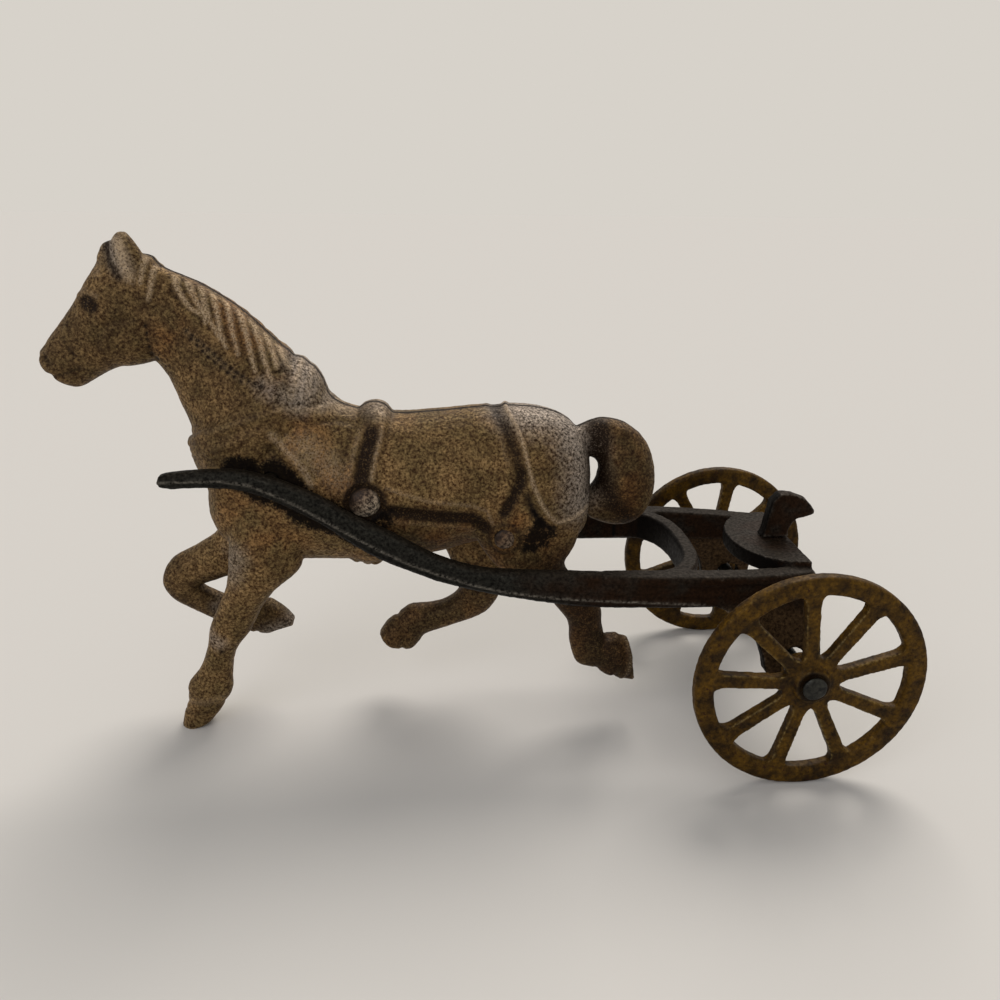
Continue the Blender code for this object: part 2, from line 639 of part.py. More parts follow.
def bracket(side, steps=7):
    """A plate that carries the axle, splayed out from its rail as it drops."""
    axle = (AXLE_X, AXLE_Z)
    top = RAIL_HEIGHT - RAIL_FLANGE_DEPTH
    outline = [(AXLE_X + RAIL_END, top)]
    for step in range(steps + 1):
        angle = math.pi * (step / steps)
        outline.append((axle[0] + BRACKET_END_RADIUS * math.cos(angle),
                        axle[1] - BRACKET_END_RADIUS * math.sin(angle)))
    start = outline[-1]
    under = RAIL_HEIGHT - RAIL_DEPTH
    bend = (AXLE_X - BRACKET_BEND, under - 2 * EDGE_BREAK)
    end = (AXLE_X - BRACKET_FRONT, under + 2 * EDGE_BREAK)
    for step in range(1, steps + 1):
        t = step / steps
        outline.append(tuple((1 - t) ** 2 * a + 2 * t * (1 - t) * b + t * t * c
                             for a, b, c in zip(start, bend, end)))
    outline.append((end[0], top))
    rings = []
    rail = FRAME_WIDTH / 2 - RAIL_FLANGE_WIDTH / 2 - RAIL_TAPER / 2 + SHAFT_WIDTH / 2
    for inset in (BRACKET_THICKNESS, 0.0):
        ring = []
        for x, z in outline:
            share = (top - z) / (top - AXLE_Z)
            face = between(rail, BRACKET_SPAN / 2, max(0.0, min(1.0, share)))
            ring.append(Vector((x, side * (face - inset), z)))
        rings.append(ring)
    return skin("bracket", rings)


def cart_frame():
    """The cart as one casting: shafts, rails, cross bar, seat plate and brackets."""
    frame = shaft(-1)
    frame.name = "cart_frame"
    added = [shaft(1), cross_bar(), seat_plate()]
    for side in (-1, 1):
        added += [flange(side), bracket(side), lug(side)]
    combine(frame, added, "UNION")
    hole_radius = AXLE_RADIUS + BRACKET_SLACK
    drop = BRACKET_SLACK - HANG_GAP
    hole_x = AXLE_X - drop * math.cos(HANG_ANGLE)
    hole_z = AXLE_Z - drop * math.sin(HANG_ANGLE)
    reach = BRACKET_SPAN
    holes = [rod("hole", hole_x, hole_z, hole_radius, -reach, reach), tenon("peg_hole", FIT_GAP)]
    return combine(frame, holes, "DIFFERENCE")


def tenon(name, gap):
    """The driver's post's round peg, or with a gap the hole for it."""
    end = -SEAT_THICKNESS - TENON_PROUD - 2 * gap
    radius = TENON_RADIUS + gap
    peg = turned(name, [(0.0, end), (radius, end), (radius, TENON_ROOT), (0.0, TENON_ROOT)])
    for vertex in peg.data.vertices:
        vertex.co = Vector((vertex.co.x, vertex.co.z, vertex.co.y))
    for polygon in peg.data.polygons:
        polygon.flip()
    shift(peg, (AXLE_X + POST_BEHIND, 0.0, SEAT_TOP))
    return peg


def seat_post():
    """The driver's post: a flat upright with a beak bent back at its top."""
    unit = POST_HEIGHT / DRAWN_POST[-4][1]
    foot = SEAT_TOP + FIT_GAP
    middle = AXLE_X + POST_BEHIND
    outline = [(middle + x * unit, foot + z * unit) for x, z in DRAWN_POST]
    post = plate("seat_post", outline, -POST_THICKNESS / 2, POST_THICKNESS / 2)
    return combine(post, [tenon("peg", 0.0)], "UNION")


def axle():
    """The steel rod, peened to a flat head outside each wheel."""
    shoulder = HUB_OUTER + HEAD_PLAY
    end = shoulder + AXLE_HEAD_THICKNESS
    rim = AXLE_HEAD_RADIUS - AXLE_HEAD_THICKNESS / 2
    profile = [(0.0, -end), (rim, -end), (AXLE_HEAD_RADIUS, -end + AXLE_HEAD_THICKNESS / 2),
               (AXLE_HEAD_RADIUS, -shoulder), (AXLE_RADIUS, -shoulder)]
    profile += [(radius, -y) for radius, y in reversed(profile)]
    piece = turned("axle", profile)
    piece.location = (AXLE_X, 0.0, AXLE_Z)
    return piece


def spoke_gap(index, turn):
    """One opening between two spokes, with rounded corners, as a cutter."""
    pitch = math.tau / SPOKE_COUNT
    middle = pitch * (index + 0.5) + turn
    outline = []
    rim_end = WHEEL_RADIUS - RIM_DEPTH - RIM_STEP
    for radius, count in ((HUB_WEB_RADIUS, 2), (rim_end, 5)):
        half = pitch / 2 - math.asin(SPOKE_WIDTH / 2 / radius)
        row = [middle + between(-half, half, step / (count - 1)) for step in range(count)]
        arc = [(radius * math.cos(angle), radius * math.sin(angle)) for angle in row]
        outline += arc if radius == HUB_WEB_RADIUS else reversed(arc)
    bm = bmesh.new()
    face = bm.faces.new([bm.verts.new((x, -RIM_WIDTH, z)) for x, z in outline])
    tips = [face.verts[0], face.verts[1]]
    corners = [face.verts[2], face.verts[-1]]
    tip_fillet = min(SPOKE_FILLET, SPOKE_FILLET_SHARE * (tips[0].co - tips[1].co).length)
    bmesh.ops.bevel(bm, geom=tips, offset=tip_fillet, segments=2, affect="VERTICES")
    bmesh.ops.bevel(bm, geom=corners, offset=SPOKE_FILLET, segments=2, affect="VERTICES")
    made = bmesh.ops.extrude_face_region(bm, geom=list(bm.faces))
    moved = [item for item in made["geom"] if isinstance(item, bmesh.types.BMVert)]
    bmesh.ops.translate(bm, verts=moved, vec=(0.0, 2 * RIM_WIDTH, 0.0))
    return new_object("spoke_gap", bm)


def wheel(name, side, turn):
    """A cast wheel: rim, spokes and a hub that reaches in along the axle."""
    inner = WHEEL_RADIUS - RIM_DEPTH
    half = RIM_WIDTH / 2
    shoulder = WHEEL_RADIUS - RIM_EDGE
    rim = [(inner, -half), (shoulder, -half), (WHEEL_RADIUS, -half + RIM_EDGE),
           (WHEEL_RADIUS, half - RIM_EDGE), (shoulder, half), (inner, half), (inner, -half)]
    piece = turned(name, rim, RIM_SEGMENTS)
    web_radius = WHEEL_RADIUS - RIM_DEPTH / 2
    web = rod("web", 0.0, 0.0, web_radius, -SPOKE_THICKNESS / 2, SPOKE_THICKNESS / 2)
    combine(web, [spoke_gap(index, turn) for index in range(SPOKE_COUNT)], "DIFFERENCE")
    combine(piece, [web], "UNION")
    hub_ends = sorted((side * (HUB_INNER - RIM_MIDDLE), side * (HUB_OUTER - RIM_MIDDLE)))
    combine(piece, [rod("hub", 0.0, 0.0, HUB_RADIUS, *hub_ends)], "UNION")
    bore = rod("bore", 0.0, 0.0, AXLE_RADIUS + RUNNING_GAP, -HUB_LENGTH, HUB_LENGTH)
    combine(piece, [bore], "DIFFERENCE")
    piece.location = (AXLE_X, side * RIM_MIDDLE, AXLE_Z)
    return piece


def finish(piece, look):
    """Shade a piece and give it its own material."""
    piece.data.materials.clear()
    piece.data.materials.append(look(piece.name + "_finish"))
    piece.data.shade_smooth()
    piece.data.set_sharp_from_angle(angle=math.radians(40))


def build():
    """Make every piece of the toy."""
    for old in list(bpy.data.objects):
        bpy.data.objects.remove(old)
    horse = solid_horse()
    finish(horse_half("horse_left_half", horse, -1), worn_brass_brown)
    finish(horse_half("horse_right_half", horse, 1), worn_brass_brown)
    bpy.data.objects.remove(horse)
    girth, flank = rivet_places()
    finish(rivet("girth_rivet", girth), worn_brass_brown)
    finish(rivet("flank_rivet", flank), worn_brass_brown)
    finish(cart_frame(), black_over_rust)
    finish(seat_post(), black_over_rust)
    finish(axle(), dark_steel)
    finish(wheel("wheel_left", -1, LEFT_SPOKE_TURN), ochre_paint)
    finish(wheel("wheel_right", 1, RIGHT_SPOKE_TURN), ochre_paint)


build()
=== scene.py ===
"""An old cast iron toy as it looks: a horse between the shafts of a two-wheeled cart.

Metres, +Z up. The horse faces -X, its left side is -Y, and the toy stands on z = 0.
"""

import math

import bmesh
import bpy
import numpy as np
from mathutils import Matrix, Vector, noise


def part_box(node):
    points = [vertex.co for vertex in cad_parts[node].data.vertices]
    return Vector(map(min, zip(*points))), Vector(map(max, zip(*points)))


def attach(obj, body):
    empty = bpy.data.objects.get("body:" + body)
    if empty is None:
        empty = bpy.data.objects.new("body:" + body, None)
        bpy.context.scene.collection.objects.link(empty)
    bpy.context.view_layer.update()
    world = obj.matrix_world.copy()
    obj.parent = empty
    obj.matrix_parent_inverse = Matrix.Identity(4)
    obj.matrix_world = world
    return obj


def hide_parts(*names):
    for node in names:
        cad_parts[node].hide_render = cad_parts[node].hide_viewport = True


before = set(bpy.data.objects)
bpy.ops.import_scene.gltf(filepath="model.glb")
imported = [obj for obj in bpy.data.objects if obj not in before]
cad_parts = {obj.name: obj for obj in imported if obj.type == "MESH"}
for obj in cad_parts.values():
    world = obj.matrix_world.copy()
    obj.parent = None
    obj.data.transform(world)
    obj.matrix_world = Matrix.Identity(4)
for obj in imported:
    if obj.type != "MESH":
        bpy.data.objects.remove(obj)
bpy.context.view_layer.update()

# The horse: two half shells of sand-cast grey iron, closed on the shafts and riveted together.
# Its gilt paint has worn to brown iron, pale on the mane and the straps, with black paint
# spilled along the shafts. It is drawn in millimetres: x from the axle, z from the ground.
MM = 0.001
axle_low, axle_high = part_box("axle")
AXLE = (axle_low + axle_high) / 2
HORSE_GRAIN = 0.366 * MM     # fineness of the horse's mesh
HORSE_ROUNDS = 6             # how often the mesh is smoothed
HORSE_SEAM = 0.3 * MM        # open joint between the two halves
LEG_OFFSET = 7.4             # legs from the joint
STANDING_FOOT_OFFSET = 3.9   # the standing leg draws in to this at its hoof
EAR_OFFSET = 2.2
RIGHT_EAR_SHIFT = (-1.4, -2.2)  # the right ear stands further forward and lower than the left
SECTION_SIDES = 32
SECTION_FULLNESS = 2.3       # 2 would be an ellipse, more is squarer

# Each station is x and z of a top or front edge, x and z of the edge across, and a half width.
TORSO = [
    (-127.6, 62, -127.8, 51.4, 5.4), (-124, 72, -125, 46.4, 9.5), (-118, 80, -118, 43.2, 11.5),
    (-110, 84, -110, 42, 12.5), (-103, 82, -103, 41.8, 13), (-98, 77.4, -98, 41.8, 13),
    (-87, 75.5, -88, 41.8, 13.2), (-76, 76, -78, 43.2, 13), (-67, 76.8, -68, 45.8, 12.5),
    (-58, 76.8, -60, 46, 12.5), (-51, 75.3, -53, 44, 11.8), (-46.5, 72, -47, 45, 10),
    (-43.5, 66, -44, 48, 6.5),
]
NECK = [
    (-101, 78, -127, 56, 12), (-103, 84.6, -130.8, 66, 11), (-110.5, 90.8, -130.2, 72.5, 9.5),
    (-117.3, 97.6, -132.1, 78.5, 7.5), (-125, 102.9, -133.9, 83.8, 6),
    (-132.7, 106.4, -136.2, 87.2, 5.3), (-134.8, 108.6, -137.2, 87.8, 5.2),
    (-138, 109.2, -138.5, 88.6, 5),
]
HEAD = [
    (-133, 104, -135.2, 87.6, 4.8), (-139.5, 108.3, -138.5, 86.6, 5.4),
    (-144.5, 107.6, -141.5, 86.2, 5.6), (-147.5, 104.5, -143.8, 86, 5.8), (-151, 99.5, -147, 84.7, 5.4),
    (-154.6, 95.2, -150, 83, 4.6), (-157.5, 91.8, -152.6, 81.8, 4.3), (-159.6, 88.5, -154.6, 82.2, 3.9),
    (-159.8, 86.6, -156.6, 83.6, 2.2),
]
EAR = [
    (-143.4, 104, -134.8, 103.5, 2.6), (-142.8, 108.4, -135.4, 108, 2.4),
    (-141.5, 111.6, -137, 111.2, 1.9), (-140, 113.2, -138.6, 113.2, 1),
]
FORELOCK = [
    (-145.2, 104, -139, 104, 2.4), (-145, 108.2, -139.6, 107.6, 2.4), (-144.2, 110.6, -141, 110.8, 1.8),
    (-143.2, 111.6, -141.4, 111.6, 0.9),
]
COLLAR = [
    (-109.5, 86.2, -131.2, 70.5, 10.6), (-107, 86.7, -130.8, 67.5, 12.3),
    (-104, 84.9, -128.8, 63, 13.1), (-101.6, 81.4, -126, 58, 12.4),
]
SADDLE = [
    (-95.6, 75.2, -96.8, 41.4, 12.7), (-93.6, 77, -95, 40.8, 13.1), (-91.2, 77.6, -93, 40.4, 13.3),
    (-88.8, 77, -91.2, 40.8, 13.1), (-86.8, 75.2, -89.8, 41.2, 12.7),
]
TAIL = [
    (-46, 72, -45, 65.4, 3), (-41, 73.8, -42.6, 64.8, 4), (-35, 72.5, -41.4, 63.4, 5),
    (-30, 68, -41, 61.6, 5.5), (-27.8, 61, -41.1, 60, 5.8), (-28.3, 54, -41.6, 58.6, 5.5),
    (-31.7, 49.3, -42.4, 57.6, 5), (-37, 48.3, -43.4, 56.4, 4), (-42.5, 50, -44.4, 55.4, 2.6),
]
STANDING_FORE = [
    (-121, 60, -111, 57, 2.4), (-123, 53.5, -108.5, 50.5, 4.4), (-124, 46, -108.3, 42.4, 5),
    (-125.3, 38, -114.5, 36.5, 4.6), (-127.5, 33, -118, 31.8, 4.2), (-130.2, 27, -121, 26, 3.8),
    (-131.6, 21, -125, 20.5, 3.2), (-134, 15.5, -126.6, 14, 2.9), (-137.2, 11.2, -127, 10, 3.1),
    (-137.3, 7.5, -128.8, 6.5, 3), (-139, 3.6, -130.4, 3.8, 3.4), (-140, -1, -132.8, 0.8, 3.6),
]
RAISED_FORE = [
    (-124, 56, -110, 53, 5), (-128, 50, -112, 47, 5), (-130, 45, -121, 36.5, 4.8),
    (-136, 41, -129.5, 33.3, 4.3), (-141.3, 38, -133.8, 31.8, 4), (-143.8, 33, -134.8, 31, 3.8),
    (-142.3, 28.6, -134.3, 30.3, 3.4), (-138, 25.3, -131.5, 28.8, 3.1), (-133, 22.3, -128.5, 27.5, 3),
    (-127.5, 19.5, -123.5, 26, 3), (-123.5, 18.2, -120.5, 27, 3.4), (-120, 17.8, -118.2, 26, 3.7),
    (-117, 19, -115.6, 23.6, 3.4), (-113.9, 19.8, -113.6, 21.2, 2),
]
BACK_HIND = [
    (-70, 62, -46, 62, 5.4), (-70.4, 55, -45, 54, 5.5), (-69.4, 48.6, -46.8, 46.5, 5.2),
    (-64, 41, -49, 41.5, 4.8), (-54.5, 35.5, -45, 36, 4.3), (-50.8, 31, -40.3, 30.5, 4),
    (-47.7, 26.5, -39.6, 26, 3.5), (-47, 20.8, -38.3, 22.3, 3.3), (-45.2, 15.8, -36, 22.7, 3.4),
    (-41, 14.2, -34.5, 22.3, 3.5), (-37.5, 12, -33.3, 21.3, 3.8), (-31.2, 10.6, -33, 21.2, 4),
]
FRONT_HIND = [
    (-79, 56, -56, 58, 5.4), (-79.4, 50, -57, 50, 5.6), (-77, 42, -59.4, 39.4, 5),
    (-73.8, 34, -61.8, 32.4, 4.6), (-72.5, 29, -63, 26.6, 4.2), (-75.5, 25.7, -66.5, 22, 3.6),
    (-80, 24.4, -74, 18.9, 3.2), (-85, 24, -80.8, 16.6, 3.4), (-88, 21.8, -82.8, 14.3, 3.4),
    (-91, 19.5, -85, 12.3, 3.8), (-92.8, 16.5, -89.5, 12.8, 3.4),
]

# What stands up from the horse or is sunk in it, drawn the same way. First the locks of the
# mane, each from the crest down, and the outlines of the mane and of the pad on the collar.
MANE = [
    [(-135.1, 108.1), (-136.1, 103.5)],
    [(-132.7, 107.9), (-133.7, 105.8), (-134.1, 103.1), (-134.8, 100.4)],
    [(-130.5, 106.6), (-130, 104.3), (-128.8, 101.6), (-126.8, 98.8), (-124.9, 97.6)],
    [(-128.3, 105.5), (-127.4, 103.2), (-125.8, 100.4), (-124.1, 97.6), (-123.9, 96)],
    [(-126.1, 104.7), (-124.8, 102), (-124, 99.2), (-123.1, 96.4), (-121.1, 92.8)],
    [(-123.9, 103.2), (-122.6, 100.8), (-121.7, 98), (-121, 94), (-120, 91.2)],
    [(-121.4, 101.6), (-120, 99.2), (-119.2, 96), (-118.3, 92.4), (-117.7, 89.9)],
    [(-118.8, 99.6), (-117.5, 97.2), (-116.2, 93.6), (-115.3, 89.9), (-114.4, 86.6)],
    [(-116.2, 97.6), (-114.9, 94.8), (-113.6, 91.6), (-112.6, 88.2), (-111.3, 84.9)],
    [(-114, 95.6), (-112.7, 92.8), (-111.3, 89.9), (-110.3, 87)],
    [(-111.8, 93.6), (-110.4, 90.7), (-109, 88.2), (-107.9, 86.5)],
    [(-109.5, 92), (-108.1, 89.1)],
]
MANE_OUTLINE = [(-131.6, 109), (-121.1, 101.8), (-113.3, 95.5), (-107.2, 90),
                (-107.8, 86.4), (-110.8, 85), (-114.6, 87), (-119.8, 91.2), (-125, 96), (-130.4, 101)]
COLLAR_PAD = [(-107, 90), (-107.6, 86.5), (-108.6, 83), (-110, 80.2), (-106.6, 79.2), (-102.6, 79),
              (-99.8, 80.2), (-100, 84), (-102.5, 89)]
# Straps, folds, the face and the hooves: a line, its half width, its height, and how much it
# is rubbed pale and dark with dirt.
RELIEF = [
    ([(-130, 72.4), (-122, 75.4), (-113, 78.4), (-110.4, 79)], 0.9, 0.2, 0.1, 0),
    ([(-129.5, 69), (-122.4, 71.4), (-116.5, 74), (-112, 75.6)], 0.9, 0.18, 0.05, 0),
    ([(-129.8, 70.6), (-122.2, 73.4), (-114.6, 76.4)], 0.6, -0.15, 0, 0.45),
    ([(-129, 74), (-121, 77), (-113.2, 79.6)], 0.6, -0.12, 0, 0.35),
    ([(-129, 67.4), (-122.6, 69.4), (-117.4, 71.6)], 0.6, -0.1, 0, 0.3),
    ([(-110.4, 79.2), (-106.3, 79.2), (-104.4, 78.4), (-100.4, 78), (-94.6, 76.8)], 0.8, 0.2, 0.3, 0),
    ([(-109.8, 77.4), (-106.3, 77.2), (-104.6, 76.2), (-100.4, 75.9), (-96, 75)], 0.8, -0.2, 0, 0.4),
    ([(-107.9, 88.4), (-108.4, 85), (-109.6, 81.8), (-110.8, 79.8)], 1, -0.3, 0, 0.5),
    ([(-105.7, 89), (-106.3, 85), (-107.2, 81.4)], 0.9, 0.15, 0.4, 0),
    ([(-103.4, 87.8), (-104, 84.4), (-104.6, 81)], 0.9, 0.12, 0.3, 0),
    ([(-111.4, 74), (-109, 71), (-107, 68.8), (-105.2, 66.4), (-104.2, 63.4)], 1.3, 0.3, 0.55, 0),
    ([(-105, 71.5), (-101.9, 69), (-98.6, 65)], 4.2, 0, 0.35, 0),
    ([(-108.6, 73.6), (-106.4, 71.2), (-104.2, 68.4), (-103, 65.6)], 0.8, 0.15, 0.3, 0),
    ([(-112.6, 71.6), (-109.8, 67.6), (-107.9, 65.6)], 1.5, -0.3, 0, 0.5),
    ([(-93.9, 74), (-94.8, 70.6), (-96.2, 64.6)], 0.9, 0.4, 0.25, 0),
    ([(-89.4, 73.8), (-89.9, 71.6), (-90.8, 68.6), (-91.6, 64.6)], 0.9, 0.45, 0.55, 0),
    ([(-91.4, 73.4), (-92.2, 70.5), (-93.2, 66.6), (-93.9, 63.4)], 2.1, -0.4, 0, 1.6),
    ([(-95.6, 75), (-96.7, 70.4), (-98, 64.2)], 0.9, -0.15, 0, 0.35),
    ([(-87, 76.4), (-88, 73), (-89.4, 68.6), (-90.3, 64.4)], 0.7, -0.15, 0, 0.4),
    ([(-88.4, 62.3), (-85.1, 61), (-80.2, 59.4), (-76, 58.6), (-70.3, 57.9), (-67, 56.4),
      (-65.8, 53)], 0.6, 0.2, 0.3, 0),
    ([(-89.4, 57.4), (-82.6, 56.3), (-76.2, 55.3), (-70.2, 54.6), (-67.4, 52)], 2, -0.4, 0, 1.7),
    ([(-87.8, 54.6), (-81, 53.9), (-73.9, 53), (-69.6, 51.8)], 0.6, 0.2, 0.1, 0),
    ([(-68, 79), (-65.8, 75.6), (-63.9, 71.8), (-62.6, 67)], 0.8, 0.2, 0.15, 0),
    ([(-66.4, 80), (-64.4, 75.8), (-62.2, 72.2), (-60.9, 68.6), (-59.8, 64.2)], 2.2, -0.35, 0, 0.95),
    ([(-64.4, 80), (-62.6, 77), (-60.6, 74.2), (-59.2, 70.6), (-58.4, 66.9), (-57.2, 62.4),
      (-55.4, 58.2), (-53.5, 55.2), (-51.6, 53.6), (-48.4, 54.1), (-44.8, 55.6)], 0.65, 0.5, 0.8, 0),
    ([(-59.7, 65), (-60, 62.8), (-61.4, 59.6), (-63.4, 56)], 1.7, -0.5, 0, 1.5),
    ([(-58.6, 60), (-57, 56.4), (-55.2, 53.4), (-52.4, 51.8)], 1.4, -0.35, 0, 0.9),
    ([(-127.6, 94), (-124.6, 91), (-121.6, 88.4), (-118.7, 86), (-114.8, 83.6)], 1.1, 0.25, 0.2, 0.3),
    ([(-148.9, 100.9), (-147, 102), (-144.8, 101)], 0.9, 0.35, 0.3, 0),
    ([(-147, 99.8), (-146.3, 99.3)], 2.2, -0.6, 0, 1.8),
    ([(-146.7, 99.5), (-146.6, 99.4)], 1.1, 0.35, 0, 0),
    ([(-150.4, 97.2), (-147.6, 95.4), (-145.4, 93.2)], 1.6, -0.2, 0, 0.2),
    ([(-141.8, 91.4), (-141.4, 91.2)], 5.4, 0.5, 0, 0),
    ([(-146.4, 90.6), (-145.4, 93.8), (-142.8, 96), (-139.2, 96.6)], 1.1, -0.3, 0, 0.5),
    ([(-159.2, 84.8), (-156.2, 84.6), (-153.3, 85.6), (-150.6, 86.4)], 0.7, -0.35, 0, 0.8),
    ([(-157.6, 88.4), (-156.8, 87.3)], 1, -0.5, 0, 0.9),
    ([(-158.6, 89.4), (-157.4, 90)], 0.9, 0.3, 0.3, 0),
    ([(-152.2, 90.7), (-151.2, 89.2)], 0.8, -0.2, 0, 0.8),
    ([(-142.8, 110.8), (-142, 107.6), (-140.4, 104.6)], 1.2, -0.5, 0, 0.95),
    ([(-144.4, 108), (-144.4, 105.4)], 1.4, 0.4, 0.3, 0),
    ([(-139.4, 111.8), (-138.8, 107.6), (-138, 104.6)], 1.6, 0.2, 0.8, 0),
    ([(-139.4, 4.6), (-134.5, 3.9), (-129, 6.2)], 0.7, -0.2, 0, 0.4),
    ([(-138.4, 8), (-133, 7.4), (-128.6, 8.8)], 1.4, 0.3, 0.2, 0),
    ([(-35, 22), (-33.9, 18.6), (-34.4, 15), (-36.4, 12)], 0.8, -0.35, 0, 0.6),
    ([(-33.6, 22), (-32.6, 18.4), (-33.2, 14.6), (-34.6, 11.6)], 0.6, 0.25, 0.6, 0),
    ([(-39.6, 23), (-39.2, 18.4), (-40.4, 14.2)], 1.2, -0.3, 0, 0.5),
    ([(-88.4, 21.6), (-86.4, 16.5), (-87.2, 12.8)], 0.8, -0.35, 0, 0.6),
    ([(-120, 26.8), (-121.6, 21.4), (-122.8, 18)], 0.8, -0.3, 0, 0.5),
    ([(-127.8, 21.6), (-127.6, 21.4)], 0.8, -0.35, 0, 1),
    ([(-43.6, 70.4), (-41.6, 66.6), (-40.4, 62)], 1.2, -0.3, 0, 0.8),
    ([(-36.4, 68.8), (-36.2, 68.6)], 2.2, -0.3, 0, 0.6),
]
# Round bosses: the middle, the radius, the height, and how much each is rubbed.
BOSSES = [
    ((-91.3, 75.8), 3.1, 0.5, 0.1), ((-132.4, 69.6), 1.7, 0.9, 0.2), ((-131.8, 66.6), 1.3, 0.6, 0.1),
    ((-131.7, 64.3), 1.1, 0.4, 0.1), ((-97, 41.5), 1.4, 0.6, 0.1), ((-94.3, 40), 1.5, 0.6, 0.1),
    ((-91.8, 41), 1.2, 0.5, 0.1), ((-106, 72.6), 6.5, 0.25, 0),
]
# Rows of stitches on the bridle and the rein: a line, and how far apart its dots are.
DOTTED = [
    ([(-136.1, 96), (-136.2, 93.4), (-136.2, 91), (-135.9, 88.7), (-134.1, 88)], 1.5),
    ([(-128.4, 94.8), (-123.9, 91), (-121, 88.6), (-116.5, 85.2), (-112.7, 83.1)], 1.4),
    ([(-127.6, 93.4), (-124.1, 89.7), (-121.2, 87.3), (-116.8, 84.1)], 1.6),
]
GIRTH = (-93.2, 59.3)        # the two rivets
FLANK = (-63.2, 49.9)
LUG = (-112.5, 64.2)         # where the lug of each shaft goes in
# The rim round each rivet: its radius and height, and the radius, darkness and reach of its dirt.
RINGS = [(FLANK, 2.9, 0.2, 3.4, 0.8, 1.3), (GIRTH, 4.4, 0.3, 3.9, 1.4, 1.4)]
# Black paint spilled beside the shafts: an outline, and how thickly it lies.
SOOT = [
    ([(-122.8, 67), (-121.4, 69.1), (-120.1, 69.7), (-117.3, 69.5), (-115, 69), (-114.3, 67.9),
      (-112.1, 68.7), (-110.1, 68.3), (-108.6, 66.7), (-106.3, 64.9), (-104.8, 63.1), (-103.4, 61.2),
      (-98.4, 59), (-96, 57), (-98, 54), (-104, 57.4), (-110, 62), (-116, 64.6), (-122, 65.4)], 1),
    ([(-123, 63.6), (-122.8, 61.7), (-119.3, 61.4), (-116.4, 58.9), (-113.2, 58.5), (-110.4, 57.2),
      (-108.8, 54.7), (-105.9, 53.1), (-103, 52.2), (-100.1, 51), (-97.2, 48.7), (-93, 46.8), (-92, 50),
      (-96, 53), (-102, 57), (-110, 61.4), (-116, 64)], 0.95),
    ([(-98.4, 58), (-94, 54.8), (-89.4, 57.6), (-86.6, 58.4), (-86.4, 55), (-90, 51), (-96, 54)], 0.7),
    ([(-58, 59.5), (-56.3, 56.5), (-53.9, 53.8), (-50.7, 51.4), (-53, 48.4), (-56.1, 46.6),
      (-59.7, 46.4), (-60.1, 49), (-58.6, 52), (-57.1, 54.5), (-57.9, 57)], 0.85),
]
# Where the iron is rubbed silvery, where shade is painted on along with some grime, and where rust
# comes through: a line, how far the mark reaches on both sides of it, and how strong it is.
SILVER = [
    ([(-106.4, 88), (-104.4, 84), (-105.6, 80.8)], 3.8, 0.8), ([(-113, 83.6), (-108, 81.4)], 2.6, 0.5),
    ([(-101, 79.6), (-88, 77.6)], 2.6, 0.45),
    ([(-62, 79.4), (-50, 76.4), (-45.6, 68), (-45.4, 58)], 6.5, 0.95),
    ([(-141.6, 111), (-139.6, 107)], 3, 0.6), ([(-119, 19.4), (-114.6, 20.8)], 3, 0.7),
    ([(-131, 26), (-128, 24)], 2.6, 0.5), ([(-122, 46), (-124, 42)], 4, 0.4),
]
# Mostly painted shade, with some grime: head, neck, hind legs, tail, under the barrel, where less light
# falls.
SHADED = [
    ([(-154, 88), (-140, 97)], 12, 0.42), ([(-128, 92), (-116, 80)], 9, 0.36),
    ([(-128, 72), (-116, 74)], 6, 0.3), ([(-92.4, 76), (-92, 74.6)], 2.4, 0.5),
    ([(-52, 40), (-44, 28), (-36, 16)], 10, 0.9), ([(-70, 30), (-88, 18)], 9, 0.65),
    ([(-41.5, 72), (-42, 60)], 4, 1.2), ([(-41, 62), (-38, 55), (-34, 51)], 4.5, 1),
    ([(-36, 70), (-32, 60), (-38, 53)], 6, 0.6), ([(-88, 50), (-66, 46)], 5, 0.4),
    ([(-52, 66), (-50, 56)], 8, 0.22),
]
RUST = [
    ([(-90, 49), (-70, 49), (-58, 46)], 8, 0.8),
    ([(-106, 73.4), (-101.9, 69.3), (-98.4, 65)], 5.5, 0.75),
    ([(-124, 101), (-113, 91), (-110, 87)], 5, 0.7), ([(-66, 36), (-72, 24), (-86, 18)], 9, 0.5),
    ([(-50, 40), (-44, 24), (-36, 16)], 9, 0.7), ([(-36, 68), (-34, 54)], 6, 0.7),
    ([(-133, 91), (-130, 97)], 4, 0.7), ([(-120, 57), (-112, 50)], 8, 0.5),
    ([(-60, 56), (-62, 50)], 4, 0.8),
]


def horse_point(x, z, y=0.0):
    """A drawn place on the horse, in metres."""
    return Vector((AXLE.x + x * MM, y * MM, z * MM))


def link(name, mesh):
    """Put a new mesh into the scene as a piece."""
    piece = bpy.data.objects.new(name, mesh)
    bpy.context.scene.collection.objects.link(piece)
    return piece


def pick(*pieces):
    """Select these pieces alone, with the first one active."""
    bpy.ops.object.select_all(action="DESELECT")
    for piece in pieces:
        piece.select_set(True)
    bpy.context.view_layer.objects.active = pieces[0]


def edit(piece, *steps):
    """Do steps in edit mode, each on all of the piece."""
    pick(piece)
    bpy.ops.object.mode_set(mode="EDIT")
    for step, settings in steps:
        bpy.ops.mesh.select_all(action="SELECT")
        step(**settings)
    bpy.ops.object.mode_set(mode="OBJECT")


def finish_with(piece, kind, **settings):
    """Give a piece one modifier and make it part of the mesh."""
    modifier = piece.modifiers.new(kind.lower(), kind)
    for name, value in settings.items():
        setattr(modifier, name, value)
    pick(piece)
    bpy.ops.object.modifier_apply(modifier=modifier.name)


def cut(piece, tool, operation="DIFFERENCE"):
    """Cut a piece with a tool, which is used up."""
    finish_with(piece, "BOOLEAN", operation=operation, solver="MANIFOLD", object=tool)
    bpy.data.objects.remove(tool)


